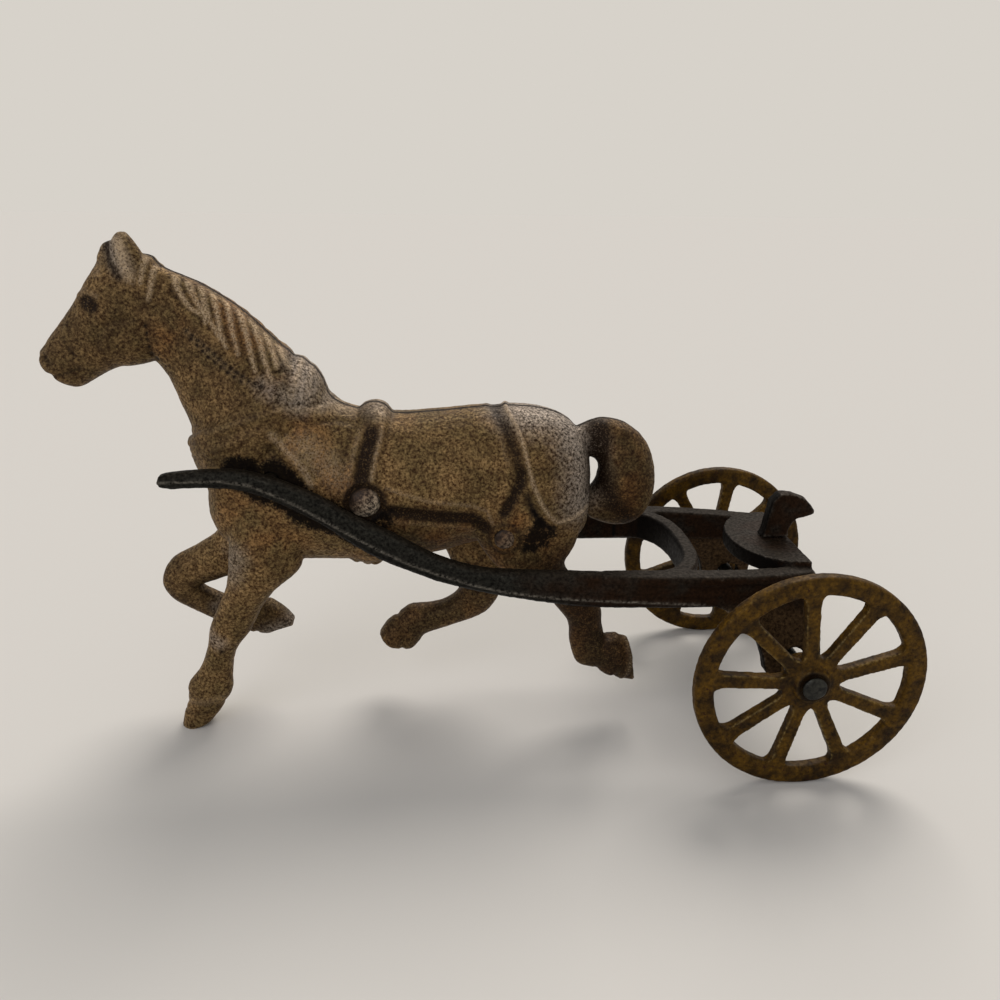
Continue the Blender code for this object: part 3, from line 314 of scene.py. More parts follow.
def through(rows, steps):
    """Rows of numbers along a smooth curve through the given rows."""
    rows = np.array(rows, float)
    last = len(rows) - 1
    result = []
    for index in range(last):
        a, b, c, d = (rows[min(max(index + offset, 0), last)] for offset in (-1, 0, 1, 2))
        for t in np.arange(steps) / steps:
            result.append(0.5 * (2 * b + (c - a) * t + (2 * a - 5 * b + 4 * c - d) * t ** 2
                                 + (3 * b - a - 3 * c + d) * t ** 3))
    return result + [rows[last]]


def limb(stations, side=0.0, end_side=None, inset=0.0, steps=6):
    """A closed body through drawn stations, in full ovals."""
    rows = through(stations, steps)
    shape = bmesh.new()
    rings = []
    for index, (top_x, top_z, bottom_x, bottom_z, width) in enumerate(rows):
        lean = 0.0 if end_side is None else (end_side - side) * index / (len(rows) - 1)
        top = horse_point(top_x, top_z, side + lean)
        bottom = horse_point(bottom_x, bottom_z, side + lean)
        middle = (top + bottom) / 2
        reach = (top - bottom) / 2
        reach -= reach.normalized() * inset
        ring = []
        for step in range(SECTION_SIDES):
            angle = math.tau * step / SECTION_SIDES
            up, out = (math.copysign(abs(value) ** (2 / SECTION_FULLNESS), value)
                       for value in (math.cos(angle), math.sin(angle)))
            ring.append(shape.verts.new(middle + reach * up + Vector((0, (width * MM - inset) * out, 0))))
        rings.append(ring)
    for near, far in zip(rings, rings[1:]):
        for index, vertex in enumerate(near):
            after = (index + 1) % SECTION_SIDES
            shape.faces.new((vertex, near[after], far[after], far[index]))
    shape.faces.new(rings[0])
    shape.faces.new(rings[-1])
    bmesh.ops.recalc_face_normals(shape, faces=shape.faces)
    mesh = bpy.data.meshes.new("limb")
    shape.to_mesh(mesh)
    shape.free()
    return link("limb", mesh)


def cast_together(name, bodies, grain, rounds):
    """Run overlapping bodies together into one skin, as molten iron does."""
    pick(*bodies)
    if len(bodies) > 1:
        bpy.ops.object.join()
    piece = bodies[0]
    piece.name = name
    finish_with(piece, "REMESH", mode="VOXEL", voxel_size=grain)
    finish_with(piece, "SMOOTH", factor=0.5, iterations=rounds)
    return piece


def surface(piece):
    """A piece's points and the way each one faces, as rows of three."""
    count = len(piece.data.vertices)
    points = np.empty(count * 3)
    facing = np.empty(count * 3)
    piece.data.vertices.foreach_get("co", points)
    piece.data.vertex_normals.foreach_get("vector", facing)
    return points.reshape(-1, 3), facing.reshape(-1, 3)


def move_surface(piece, points):
    """Put a piece's points in new places."""
    piece.data.vertices.foreach_set("co", points.ravel())
    piece.data.update()


def drawn(points):
    """Points as (x, z) in the drawing's millimetres."""
    return np.column_stack(((points[:, 0] - AXLE.x) / MM, points[:, 2] / MM))


def distance_to(places, line):
    """How far each drawn place lies from a line."""
    best = np.full(len(places), np.inf)
    for start, end in zip(line, line[1:]):
        start = np.array(start, float)
        step = np.array(end, float) - start
        share = np.clip((places - start) @ step / (step @ step), 0, 1)
        best = np.minimum(best, np.linalg.norm(places - start - share[:, None] * step, axis=1))
    return best


def swell(distance, reach):
    """A smooth hump, 1 on a line and 0 from its reach outwards."""
    return 0.5 + 0.5 * np.cos(np.pi * np.minimum(distance / reach, 1))


def inside(places, outline):
    """1 for each drawn place inside an outline, else 0."""
    found = np.zeros(len(places), bool)
    for (ax, az), (bx, bz) in zip(outline, outline[1:] + outline[:1]):
        spans = (az > places[:, 1]) != (bz > places[:, 1])
        crossing = ax + (places[:, 1] - az) * (bx - ax) / ((bz - az) or 1e-9)
        found ^= spans & (places[:, 0] < crossing)
    return found.astype(float)


def depth_inside(places, outline):
    """How far each drawn place lies inside an outline, below 0 outside it."""
    return (2 * inside(places, outline) - 1) * distance_to(places, outline + outline[:1])


LOCK_HALF = 1.25             # half width of a lock of the mane at the crest,
LOCK_TAPER = 0.4             # and how much narrower it ends
LOCK_RISE = 0.45
MANE_SINK = 0.15             # how deep the mane lies between its locks
MANE_START = 1.2             # the locks begin this far from the joint,
MANE_RUN = 1.6               # and reach their full height over this
PAD_RISE = 0.3               # height of the pad on the collar,
PAD_EDGE = 1.2               # and the width of its slope
LINE_SOFTNESS = 1.25         # a raised line fades out at this many half widths
MARK_SOFTNESS = 1.4          # and a mark at this many times its reach
RING_HALF = 0.9              # half width of the rim round a rivet
DOT_REACH = 0.85             # radius of a stitch
DOT_DEPTH = 0.25
SOOT_EDGE = 2.2              # how softly the spilled paint ends
LEG_TOP = 44                 # below this the far legs are in shade,
LEG_FADE = 6                 # which deepens over this,
LEG_SIDE = 3                 # from this far right of the joint


def marks_along(places, rows):
    """The strongest mark at each place, from rows of a line, a reach and a strength."""
    return np.max([much * swell(distance_to(places, line), reach * MARK_SOFTNESS)
                   for line, reach, much in rows], axis=0)


def horse_relief(points):
    """Height in mm, and how rubbed, grimy or painted with shade, sooty, silvery and rusty the horse is."""
    places = drawn(points)
    height, rubbed, dirty = np.zeros((3, len(places)))
    crest = np.clip((np.abs(points[:, 1]) / MM - MANE_START) / MANE_RUN, 0, 1)
    mane = inside(places, MANE_OUTLINE)
    strands = np.zeros(len(places))
    for line in MANE:
        down = np.clip((line[0][1] - places[:, 1]) / (line[0][1] - line[-1][1]), 0, 1)
        strands = np.maximum(strands, swell(distance_to(places, line), LOCK_HALF - LOCK_TAPER * down))
    height += (LOCK_RISE * strands - MANE_SINK * mane) * crest
    rubbed = np.maximum(rubbed, 0.95 * strands ** 1.5 * crest)
    dirty = np.maximum(dirty, 0.5 * mane * (1 - strands) ** 2)
    height += PAD_RISE * np.clip(depth_inside(places, COLLAR_PAD) / PAD_EDGE, 0, 1)
    for line, reach, rise, rub, dirt in RELIEF:
        hump = swell(distance_to(places, line), reach * LINE_SOFTNESS)
        height += rise * hump
        rubbed = np.maximum(rubbed, rub * hump)
        dirty = np.maximum(dirty, dirt * hump)
    for centre, radius, rise, rub in BOSSES:
        away = np.hypot(*(places - centre).T) / radius
        dome = np.sqrt(np.clip(1 - away ** 2, 0, 1))
        height += rise * dome
        rubbed = np.maximum(rubbed, rub * dome)
    for line, spacing in DOTTED:
        route = np.array(through(line, 40))
        run = np.append(0, np.cumsum(np.linalg.norm(np.diff(route, axis=0), axis=1)))
        for along in np.arange(spacing / 2, run[-1], spacing):
            dot = [np.interp(along, run, route[:, axis]) for axis in (0, 1)]
            dip = swell(np.hypot(*(places - dot).T), DOT_REACH)
            height -= DOT_DEPTH * dip
            dirty = np.maximum(dirty, 1.5 * dip)
        dirty = np.maximum(dirty, 0.55 * swell(distance_to(places, line), 0.7))
    for centre, ring, rise, dirt_ring, dirt, reach in RINGS:
        away = np.hypot(*(places - centre).T)
        height += rise * swell(np.abs(away - ring), RING_HALF)
        dirty = np.maximum(dirty, dirt * swell(np.abs(away - dirt_ring), reach))
    dirty = np.maximum(dirty, marks_along(places, SHADED))
    # Painted shade on the far legs below the belly, which face away from the light.
    far_leg = np.clip(points[:, 1] / MM - LEG_SIDE, 0, 1)
    far_leg *= np.clip((LEG_TOP - places[:, 1]) / LEG_FADE, 0, 1)
    dirty = np.maximum(dirty, 0.45 * far_leg)
    soot = np.max([much * np.clip(0.5 + depth_inside(places, outline) / SOOT_EDGE, 0, 1)
                   for outline, much in SOOT], axis=0)
    return height, {"rubbed": rubbed, "dirty": dirty, "soot": soot,
                    "silver": marks_along(places, SILVER), "rust": marks_along(places, RUST)}


def sand_bumps(points, size, depth):
    """The small bumps that the sand of a mould leaves, of a size and a depth in mm."""
    return depth * np.array([noise.noise(Vector(point) / (size * MM)) for point in points])


HOLLOW_ROUNDS = 2            # how often the measure below is averaged with its neighbours


def hollowness(piece):
    """How hollow a piece is at each point, in 1/mm: below 0 on edges and ridges."""
    points, facing = surface(piece)
    ends = np.empty(len(piece.data.edges) * 2, np.int64)
    piece.data.edges.foreach_get("vertices", ends)
    first, second = ends.reshape(-1, 2).T
    count = np.maximum(np.bincount(ends, minlength=len(points)), 1)

    def around(values):
        """The mean of each point's neighbours."""
        total = np.bincount(first, values[second], len(points))
        return (total + np.bincount(second, values[first], len(points))) / count

    lean = sum((around(points[:, axis]) - points[:, axis]) * facing[:, axis] for axis in range(3))
    spacing = np.linalg.norm(points[first] - points[second], axis=1)
    local = np.maximum(np.bincount(first, spacing, len(points))
                       + np.bincount(second, spacing, len(points)), 1e-9) / count
    lean = np.clip(2 * lean / local ** 2 * MM, -3, 3)
    for _ in range(HOLLOW_ROUNDS):
        lean = (lean + around(lean)) / 2
    return lean


def mark(piece, **marks):
    """Store how a finish varies over a piece, each mark from 0 to 1."""
    for name, values in marks.items():
        layer = piece.data.attributes.new(name, "FLOAT", "POINT")
        layer.data.foreach_set("value", np.clip(values, 0, 1).astype(np.float32))


def linear(code):
    """An sRGB hex colour as linear red, green, blue and alpha."""
    values = [int(code[index:index + 2], 16) / 255 for index in (1, 3, 5)]
    return (*(v / 12.92 if v <= 0.04045 else ((v + 0.055) / 1.055) ** 2.4 for v in values), 1.0)


def feed(tree, node, inputs):
    """Lead outputs, hex colours and plain values to a node's sockets."""
    for key, value in inputs.items():
        if isinstance(value, bpy.types.NodeSocket):
            tree.links.new(value, node.inputs[key])
        else:
            node.inputs[key].default_value = linear(value) if isinstance(value, str) else value


def add(tree, kind, inputs, out=0, **settings):
    """Add a node with its settings and links, and give back one of its outputs."""
    node = tree.nodes.new("ShaderNode" + kind)
    for name, value in settings.items():
        setattr(node, name, value)
    feed(tree, node, inputs)
    return node.outputs[out]


def new_finish(name, *marks):
    """An empty material, its nodes, its shader, the object's own coordinates and its marks."""
    finish = bpy.data.materials.new(name)
    finish.use_nodes = True
    tree = finish.node_tree
    read = [add(tree, "Attribute", {}, out=2, attribute_name=mark) for mark in marks]
    return finish, tree, tree.nodes["Principled BSDF"], add(tree, "TexCoord", {}, out=3), *read


# Worn gilt over cast iron: the sand's grain shows as pale crests and warm dark pits 0.6 mm apart,
# so the gloss breaks up and the edges of the relief are rubbed to bare metal.
gilt_iron, tree, shader, where, rubbed, dirty, soot, silver, rust = new_finish(
    "worn_gilt_on_cast_iron", "rubbed", "dirty", "soot", "silver", "rust")
grain, specks, sand, rag, cloud = (
    add(tree, "TexNoise", {"Vector": where, "Scale": 1 / (size * MM), "Detail": detail, "Roughness": rough})
    for size, detail, rough in ((0.6, 4, 0.72), (0.33, 1, 0.5), (0.8, 2, 0.6), (1.6, 5, 0.8), (6, 4, 0.5)))
crests, fine, clouds, pits, mottle, kept, ragged, flecks = (
    add(tree, "MapRange", {"Value": value, "From Min": low, "From Max": high,
                           "To Min": least, "To Max": most})
    for value, low, high, least, most in (
        (grain, 0.38, 0.65, 0, 1), (specks, 0.3, 0.65, 0, 1), (cloud, 0.4, 0.62, 0, 1),
        (sand, 0.62, 0.74, 0, 0.5), (rag, 0.44, 0.62, 0, 0.65), (specks, 0.5, 0.72, 1, 0.6),
        (rag, 0.25, 0.75, -0.5, 0.5), (specks, 0.3, 0.7, -0.15, 0.15)))
brown, olive, orange, metal = (
    add(tree, "Mix", {0: crests, 6: pit, 7: crest}, out=2, data_type="RGBA")
    for pit, crest in (("#38210a", "#a98a5c"), ("#2c1b08", "#8b744b"), ("#341805", "#966736"),
                       ("#150d07", "#c6b9ac")))
rust_share, silver_share, bright_share, dirt_and_shade_share = (
    add(tree, "Math", {0: much, 1: share}, operation="MULTIPLY")
    for much, share in ((rust, clouds), (silver, 0.9), (rubbed, fine), (dirty, kept)))
soot_edge = add(tree, "Math", {0: soot, 1: ragged}, operation="ADD")
soot_edge = add(tree, "Math", {0: soot_edge, 1: flecks}, operation="ADD")
soot_share = add(tree, "MapRange", {"Value": soot_edge, "From Min": 0.3, "From Max": 0.75, "To Max": 0.95})
base = olive
# The near-black #180c03 layer lays on both grime and painted shade.
for share, layer in ((clouds, brown), (rust_share, orange), (mottle, "#3a2410"), (silver_share, metal),
                     (bright_share, "#c2ab8c"), (pits, "#2a1807"), (dirt_and_shade_share, "#180c03"),
                     (soot_share, "#090504")):
    base = add(tree, "Mix", {0: share, 6: base, 7: layer}, out=2, data_type="RGBA")
gloss = add(tree, "MapRange", {"Value": grain, "From Min": 0.35, "From Max": 0.7,
                               "To Min": 0.72, "To Max": 0.45})
matt = add(tree, "Math", {0: gloss, 1: soot_share}, operation="MAXIMUM")
pitted = add(tree, "Math", {0: grain, 1: sand}, operation="SUBTRACT")
bump = add(tree, "Bump", {"Height": pitted, "Strength": 0.7, "Distance": 0.12 * MM})
feed(tree, shader, {"Base Color": base, "Roughness": matt, "Normal": bump, "Metallic": 0.3,
                    "Specular IOR Level": 0.15})

right_ear = np.array(EAR) + (*RIGHT_EAR_SHIFT, *RIGHT_EAR_SHIFT, 0)
horse = cast_together("horse", [
    limb(TORSO), limb(NECK), limb(HEAD), limb(COLLAR), limb(SADDLE), limb(TAIL),
    limb(STANDING_FORE, -LEG_OFFSET, -STANDING_FOOT_OFFSET), limb(RAISED_FORE, LEG_OFFSET),
    limb(BACK_HIND, -LEG_OFFSET), limb(FRONT_HIND, LEG_OFFSET), limb(FORELOCK),
    limb(EAR, -EAR_OFFSET), limb(right_ear, EAR_OFFSET)], HORSE_GRAIN, HORSE_ROUNDS)
points, facing = surface(horse)
rise = horse_relief(points)[0] + sand_bumps(points, 0.9, 0.05) + sand_bumps(points, 2.4, 0.07)
points += facing * (rise * MM)[:, None]
points[:, 2] = np.maximum(points[:, 2], 0.0)
move_surface(horse, points)

HORSE_WALL = 2.6 * MM        # thickness of each shell
RIVET_HOLE = 1.7             # radius of each rivet's hole
RIVET_POST = 3.5             # radius of the iron cast round it, inside the shell
LUG_HOLE = 2.0
LUG_DEPTH = 10.4             # from the joint to the bottom of each lug's socket


def plain(name, shape, **settings):
    """One of Blender's plain shapes as a piece, with its place and turn in the mesh."""
    bpy.ops.object.select_all(action="DESELECT")
    shape(**settings)
    piece = bpy.context.object
    piece.name = name
    bpy.ops.object.transform_apply(location=True, rotation=True, scale=True)
    return piece


def bar(name, x, z, radius, low, high, sides=32):
    """A round bar across the toy, at a drawn place, with its sizes in mm."""
    middle = horse_point(x, z, (low + high) / 2)
    return plain(name, bpy.ops.mesh.primitive_cylinder_add, vertices=sides, radius=radius * MM,
                 depth=(high - low) * MM, location=middle, rotation=(math.pi / 2, 0, 0))


def block(name, low, high):
    """A plain block between two corners."""
    low, high = Vector(low), Vector(high)
    return plain(name, bpy.ops.mesh.primitive_cube_add, size=1, location=(low + high) / 2, scale=high - low)


def coat(piece, finish, angle=None):
    """Give a piece its finish, smooth, or smooth but for edges sharper than an angle."""
    pick(piece)
    if angle:
        bpy.ops.object.shade_smooth_by_angle(angle=math.radians(angle))
    else:
        bpy.ops.object.shade_smooth()
    piece.data.materials.clear()
    piece.data.materials.append(finish)


REACH = 0.2                  # further than the toy reaches each way
THROUGH = 30                 # a tool that goes right through the horse reaches this far
JOINT_DIRT = 1.0             # dirt in the joint ends this far from the middle,
JOINT_FADE = 0.5             # and fades over this
for side, name in ((-1, "left"), (1, "right")):
    half = link("horse_" + name, horse.data.copy())
    near, far = sorted((side * HORSE_SEAM / 2, side * REACH))
    cut(half, block("own_side", (-REACH, near, -REACH), (REACH, far, REACH)), "INTERSECT")
    hollow = limb(TORSO[2:-2], inset=HORSE_WALL)
    for place in (GIRTH, FLANK):
        cut(hollow, bar("post", *place, RIVET_POST, -THROUGH, THROUGH))
    cut(half, hollow)
    for place in (GIRTH, FLANK):
        cut(half, bar("hole", *place, RIVET_HOLE, -THROUGH, THROUGH))
    cut(half, bar("socket", *LUG, LUG_HOLE, *sorted((side * LUG_DEPTH, side * THROUGH))))
    points = surface(half)[0]
    marks = horse_relief(points)[1]
    bend = hollowness(half)
    marks["rubbed"] = np.maximum(marks["rubbed"], np.clip(-bend - 0.45, 0, 1) * 0.7)
    marks["dirty"] = np.maximum(marks["dirty"], np.clip(bend - 0.1, 0, 1) * 0.8)
    joint = np.clip((JOINT_DIRT - np.abs(points[:, 1]) / MM) / JOINT_FADE, 0, 1)
    marks["rubbed"] *= 1 - joint
    marks["dirty"] = np.maximum(marks["dirty"], joint)
    mark(half, **marks)
    coat(half, gilt_iron, 50)
    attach(half, "toy")
    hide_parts("horse_" + name + "_half")
bpy.data.objects.remove(horse)

# The rivets: soft iron pins peened over by hammer on both sides of the horse.
# The one at the girth has a ball of a head, worn bright, with a painted highlight towards the light and
# painted shade on its other side.


def turned(name, centre, profile, sides=48):
    """Spin a (radius, along) profile in mm round a line across the toy."""
    mesh = bpy.data.meshes.new(name)
    outline = [(radius * MM, along * MM, 0) for radius, along in profile]
    mesh.from_pydata(outline, [(index, index + 1) for index in range(len(outline) - 1)], [])
    piece = link(name, mesh)
    edit(piece, (bpy.ops.mesh.spin, dict(steps=sides, angle=math.tau, center=(0, 0, 0), axis=(0, 1, 0))),
         (bpy.ops.mesh.remove_doubles, dict(threshold=0.01 * MM)),
         (bpy.ops.mesh.normals_make_consistent, dict(inside=False)),
         (bpy.ops.transform.translate, dict(value=centre)))
    return piece


# Soft iron under the hammer: small dents catch the light; the pale of the head is wear and a painted
# highlight.
rivet_iron, tree, shader, where, rubbed, dirty = new_finish("peened_iron_rubbed_and_highlit", "rubbed", "dirty")
grain = add(tree, "TexNoise", {"Vector": where, "Scale": 1 / (0.7 * MM), "Detail": 3, "Roughness": 0.7})
crests = add(tree, "MapRange", {"Value": grain, "From Min": 0.42, "From Max": 0.62})
base, bright = (add(tree, "Mix", {0: crests, 6: pit, 7: crest}, out=2, data_type="RGBA")
                for pit, crest in (("#2c1a0d", "#5f4124"), ("#1a120c", "#c9b9a2")))
for share, layer in ((rubbed, bright), (dirty, "#120d0a")):
    base = add(tree, "Mix", {0: share, 6: base, 7: layer}, out=2, data_type="RGBA")
bump = add(tree, "Bump", {"Height": grain, "Strength": 0.7, "Distance": 0.15 * MM})
feed(tree, shader, {"Base Color": base, "Roughness": 0.5, "Normal": bump, "Metallic": 0.5})

for node, dome, shank, head_highlight in (("girth_rivet", 2.1, 1.4, 0.9), ("flank_rivet", 1.1, 1.4, 0.35)):
    low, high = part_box(node)
    middle = (low + high) / 2
    radius = (high.x - low.x) / 2 / MM
    top = high.y / MM
    curve = [(radius * math.sin(angle), top - dome * (1 - math.cos(angle)))
             for angle in np.linspace(0, math.pi / 2, 14)]
    profile = curve + [(shank, top - dome)]
    profile += [(across, -along) for across, along in reversed(profile)]
    pin = turned(node.replace("rivet", "pin"), middle, profile)
    finish_with(pin, "SUBSURF", levels=1, render_levels=1, subdivision_type="SIMPLE")
    points, facing = surface(pin)
    points += facing * (sand_bumps(points, 1.4, 0.12) * MM)[:, None]
    limit = top * MM - np.abs(points[:, 1])
    points[:, 1] += np.sign(points[:, 1]) * np.minimum(limit, 0)
    move_surface(pin, points)
    edge = np.clip((limit / MM - dome * 0.45) / (dome * 0.5), 0, 1)
    # Painted light on each head: a highlight leans towards the rear and down, painted shade darkens the
    # front and top.
    lean = ((points[:, 0] - middle.x) - (points[:, 2] - middle.z)) / (radius * MM)
    mark(pin, rubbed=head_highlight * np.clip(0.5 + 0.5 * lean, 0, 1),
         dirty=np.maximum(edge, np.clip(-0.2 - 0.8 * lean, 0, 0.9)))
    coat(pin, rivet_iron)
    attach(pin, "toy")
    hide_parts(node)

# The cart frame: one iron casting of both shafts, the bowed cross bar, the driver's plate and
# the axle brackets. Its black paint is thin and rubbed and brown with rust below, and painted light makes
# its tops grey.
FRAME_GRAIN = 0.34 * MM
FRAME_ROUNDS = 4
# The thin raised line along the outer side of each shaft.
BEAD = [(-134, 65.6), (-128.5, 65.8), (-121.4, 65.8), (-116.2, 64.9), (-110.3, 62.2), (-106.7, 60.2),
        (-102.1, 57.4), (-97, 54.3), (-92.2, 51.5), (-88, 49.2), (-83.2, 46.9), (-78.2, 45),
        (-70.1, 42.3), (-63.9, 40.9), (-57.6, 39.9), (-51.3, 39.2), (-43.2, 38.6), (-36.1, 38.2),
        (-28, 37.7), (-20.1, 37.2)]
BEAD_HALF = 0.5
BEAD_RISE = 0.3
SHAFT_STEP = 0.3             # how far the shaft's side lies back below its bead
GROOVE_ABOVE = 1.2           # how far above the bead's middle its groove runs
GROOVE_HALF = 0.9
GROOVE_DEPTH = 0.2
PLATE_FRONT = -8.5           # the driver's plate, along the toy from the axle
PLATE_REAR = 8.0
PLATE_HALF = 12.5
BARE_BELOW = 37              # the brackets are bare and rusty below this height
BARE_BEHIND = -20            # and behind this place
SHELTER_START = -40          # behind this the faces turned to the horse are in shade
BROWN_START = -85            # from here on to the rear the paint turns brown,
BROWN_RUN = 50               # over this length
SHAFT_SIDE = 13              # the shafts lie further out than this
SHAFT_REAR = -16             # and ahead of this place


def casting_of(node, name, grain, rounds):
    """A fine copy of a node's shape, with the soft corners of a casting."""
    piece = link(name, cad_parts[node].data.copy())
    edit(piece, (bpy.ops.mesh.remove_doubles, dict(threshold=0.002 * MM)))
    return cast_together(name, [piece], grain, rounds)


# Thin black paint on a sand casting: dull and grainy, brown where rust shows through it, painted lighter
# grey on its upper faces where light falls.
black_paint, tree, shader, where, rubbed, dirty, rear, upper, bare = new_finish(
    "black_paint_thin_over_rust", "rubbed", "dirty", "rear", "upper", "bare")
grain = add(tree, "TexNoise", {"Vector": where, "Scale": 1 / (0.7 * MM), "Detail": 3, "Roughness": 0.7})
cloud = add(tree, "TexNoise", {"Vector": where, "Scale": 1 / (5 * MM), "Detail": 4})
crests = add(tree, "MapRange", {"Value": grain, "From Min": 0.36, "From Max": 0.68})
base, brown, top_highlight_grey, rusted = (
    add(tree, "Mix", {0: crests, 6: pit, 7: crest}, out=2, data_type="RGBA")
    for pit, crest in (("#0d0c0a", "#31302b"), ("#180d05", "#2c1c10"), ("#120e0a", "#2e2820"),
                       ("#271a0e", "#5c4830")))
rust_share = add(tree, "Math", {0: cloud, 1: rear}, operation="MULTIPLY")
rust_share = add(tree, "MapRange", {"Value": rust_share, "From Min": 0.2, "From Max": 0.5})
bright_share = add(tree, "Math", {0: rubbed, 1: crests}, operation="MULTIPLY")
for share, layer in ((rust_share, brown), (upper, top_highlight_grey), (bare, rusted), (bright_share, "#7d776d"),
                     (dirty, "#070504")):
    base = add(tree, "Mix", {0: share, 6: base, 7: layer}, out=2, data_type="RGBA")
gloss = add(tree, "MapRange", {"Value": grain, "From Min": 0.35, "From Max": 0.7,
                               "To Min": 0.7, "To Max": 0.45})
bump = add(tree, "Bump", {"Height": grain, "Strength": 0.7, "Distance": 0.14 * MM})
feed(tree, shader, {"Base Color": base, "Roughness": gloss, "Normal": bump, "Metallic": 0.2,
                    "Specular IOR Level": 0.06})


def finish_in_black(piece, node, bead=0.0, lower=0.0):
    """Wear, rust, and painted light and shade on the frame's castings, which carry the black paint."""
    points, facing = surface(piece)
    places = drawn(points)
    bend = hollowness(piece)
    bare = np.clip((BARE_BELOW - places[:, 1]) / 3, 0, 1) * np.clip((places[:, 0] - BARE_BEHIND) / 6, 0, 1)
    # Painted shade on faces turned to the horse and on the lower flange of each shaft.
    sheltered = np.clip(-facing[:, 0] * 2 - 0.2, 0, 1) * (places[:, 0] > SHELTER_START)
    shaded = np.maximum(0.92 * sheltered, 0.8 * lower)
    across = np.abs(points[:, 1]) / MM / PLATE_HALF
    along = np.minimum(places[:, 0] - PLATE_REAR, 0) / (PLATE_REAR - PLATE_FRONT)
    on_plate = np.clip((0.9 - np.hypot(across, along)) * 10, 0, 1)
    # Faces turned up get a painted lighter grey, as light falls on them, less on the driver's plate.
    mark(piece, rubbed=np.maximum(np.clip(-bend * 0.7 - 0.35, 0, 0.6) * (1 - lower), bead),
         dirty=np.maximum(np.clip(bend * 0.9 - 0.15, 0, 0.9), shaded),
         rear=np.clip((places[:, 0] - BROWN_START) / BROWN_RUN, 0.25, 1),
         upper=np.clip(facing[:, 2] * 1.6 - 0.5, 0, 1) * (0.85 - 0.5 * on_plate), bare=bare * 0.8)
    coat(piece, black_paint)
    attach(piece, "toy")
    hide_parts(node)


chassis = casting_of("cart_frame", "chassis", FRAME_GRAIN, FRAME_ROUNDS)
points, facing = surface(chassis)
places = drawn(points)
outer = np.sign(points[:, 1]) * facing[:, 1]
on_side = np.clip(outer * 2, 0, 1) * (np.abs(points[:, 1]) > SHAFT_SIDE * MM) * (places[:, 0] < SHAFT_REAR)
bead_height = np.interp(places[:, 0], *zip(*BEAD))
above = places[:, 1] - bead_height
bead = swell(distance_to(places, BEAD), BEAD_HALF) * on_side
lower = np.clip(-above / 2, 0, 1) * on_side
groove = swell(np.abs(above - GROOVE_ABOVE), GROOVE_HALF) * on_side
rise = BEAD_RISE * bead - SHAFT_STEP * lower - GROOVE_DEPTH * groove + sand_bumps(points, 1.1, 0.06)
points += facing * (rise * MM)[:, None]
move_surface(chassis, points)
finish_in_black(chassis, "cart_frame", bead ** 2, lower)

# The driver's post: a flat iron upright with a beak bent back, pegged through the plate.
# A lost driver was cast to hook over it. Its foot spreads where it was hammered down.
POST_FOOT = 44.2 * MM        # top of the plate
POST_SPREAD = 0.8
POST_GRAIN = 0.28 * MM
POST_ROUNDS = 9

post = casting_of("seat_post", "driver_post", POST_GRAIN, POST_ROUNDS)
points, facing = surface(post)
above_foot = (points[:, 2] - POST_FOOT) / MM
spread = np.where(above_foot > 0, np.clip(1 - above_foot / 2, 0, 1) ** 2, 0) * POST_SPREAD
spread *= 1 - np.abs(facing[:, 2])
points += facing * ((spread + sand_bumps(points, 1.2, 0.08)) * MM)[:, None]
move_surface(post, points)
finish_in_black(post, "seat_post")

# The axle: a steel rod, left grey, with both ends hammered over outside the wheels.
AXLE_RADIUS = 1.6
HEAD_RADIUS = 2.6
HEAD_THICKNESS = 0.9

# Bare steel gone grey: darker than the iron, with a soft shine that the hammer marks break.
grey_steel, tree, shader, where = new_finish("hammered_grey_steel")
grain = add(tree, "TexNoise", {"Vector": where, "Scale": 1 / (0.9 * MM), "Detail": 3})
crests = add(tree, "MapRange", {"Value": grain, "From Min": 0.35, "From Max": 0.68})
base = add(tree, "Mix", {0: crests, 6: "#0f0f0e", 7: "#34342f"}, out=2, data_type="RGBA")
bump = add(tree, "Bump", {"Height": grain, "Strength": 0.6, "Distance": 0.15 * MM})
feed(tree, shader, {"Base Color": base, "Roughness": 0.42, "Normal": bump, "Metallic": 0.7})

end = axle_high.y / MM
shoulder = end - HEAD_THICKNESS
profile = [(0, end - 0.12), (0.7, end), (HEAD_RADIUS - 0.7, end - 0.05), (HEAD_RADIUS - 0.2, end - 0.25),
           (HEAD_RADIUS, end - 0.5), (HEAD_RADIUS - 0.1, shoulder), (AXLE_RADIUS, shoulder)]
rows = [(AXLE_RADIUS, along) for along in np.linspace(shoulder, -shoulder, 60)[1:-1]]
profile = profile + rows + [(across, -along) for across, along in reversed(profile)]
rod = turned("axle_rod", AXLE, profile)
points, facing = surface(rod)
on_head = np.abs(points[:, 1]) > (shoulder + 0.1) * MM
points += facing * (sand_bumps(points, 1.3, 0.09) * on_head * MM)[:, None]
points[:, 1] = np.clip(points[:, 1], axle_low.y, axle_high.y)
move_surface(rod, points)
coat(rod, grey_steel, 40)
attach(rod, "axle_rod")
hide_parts("axle")

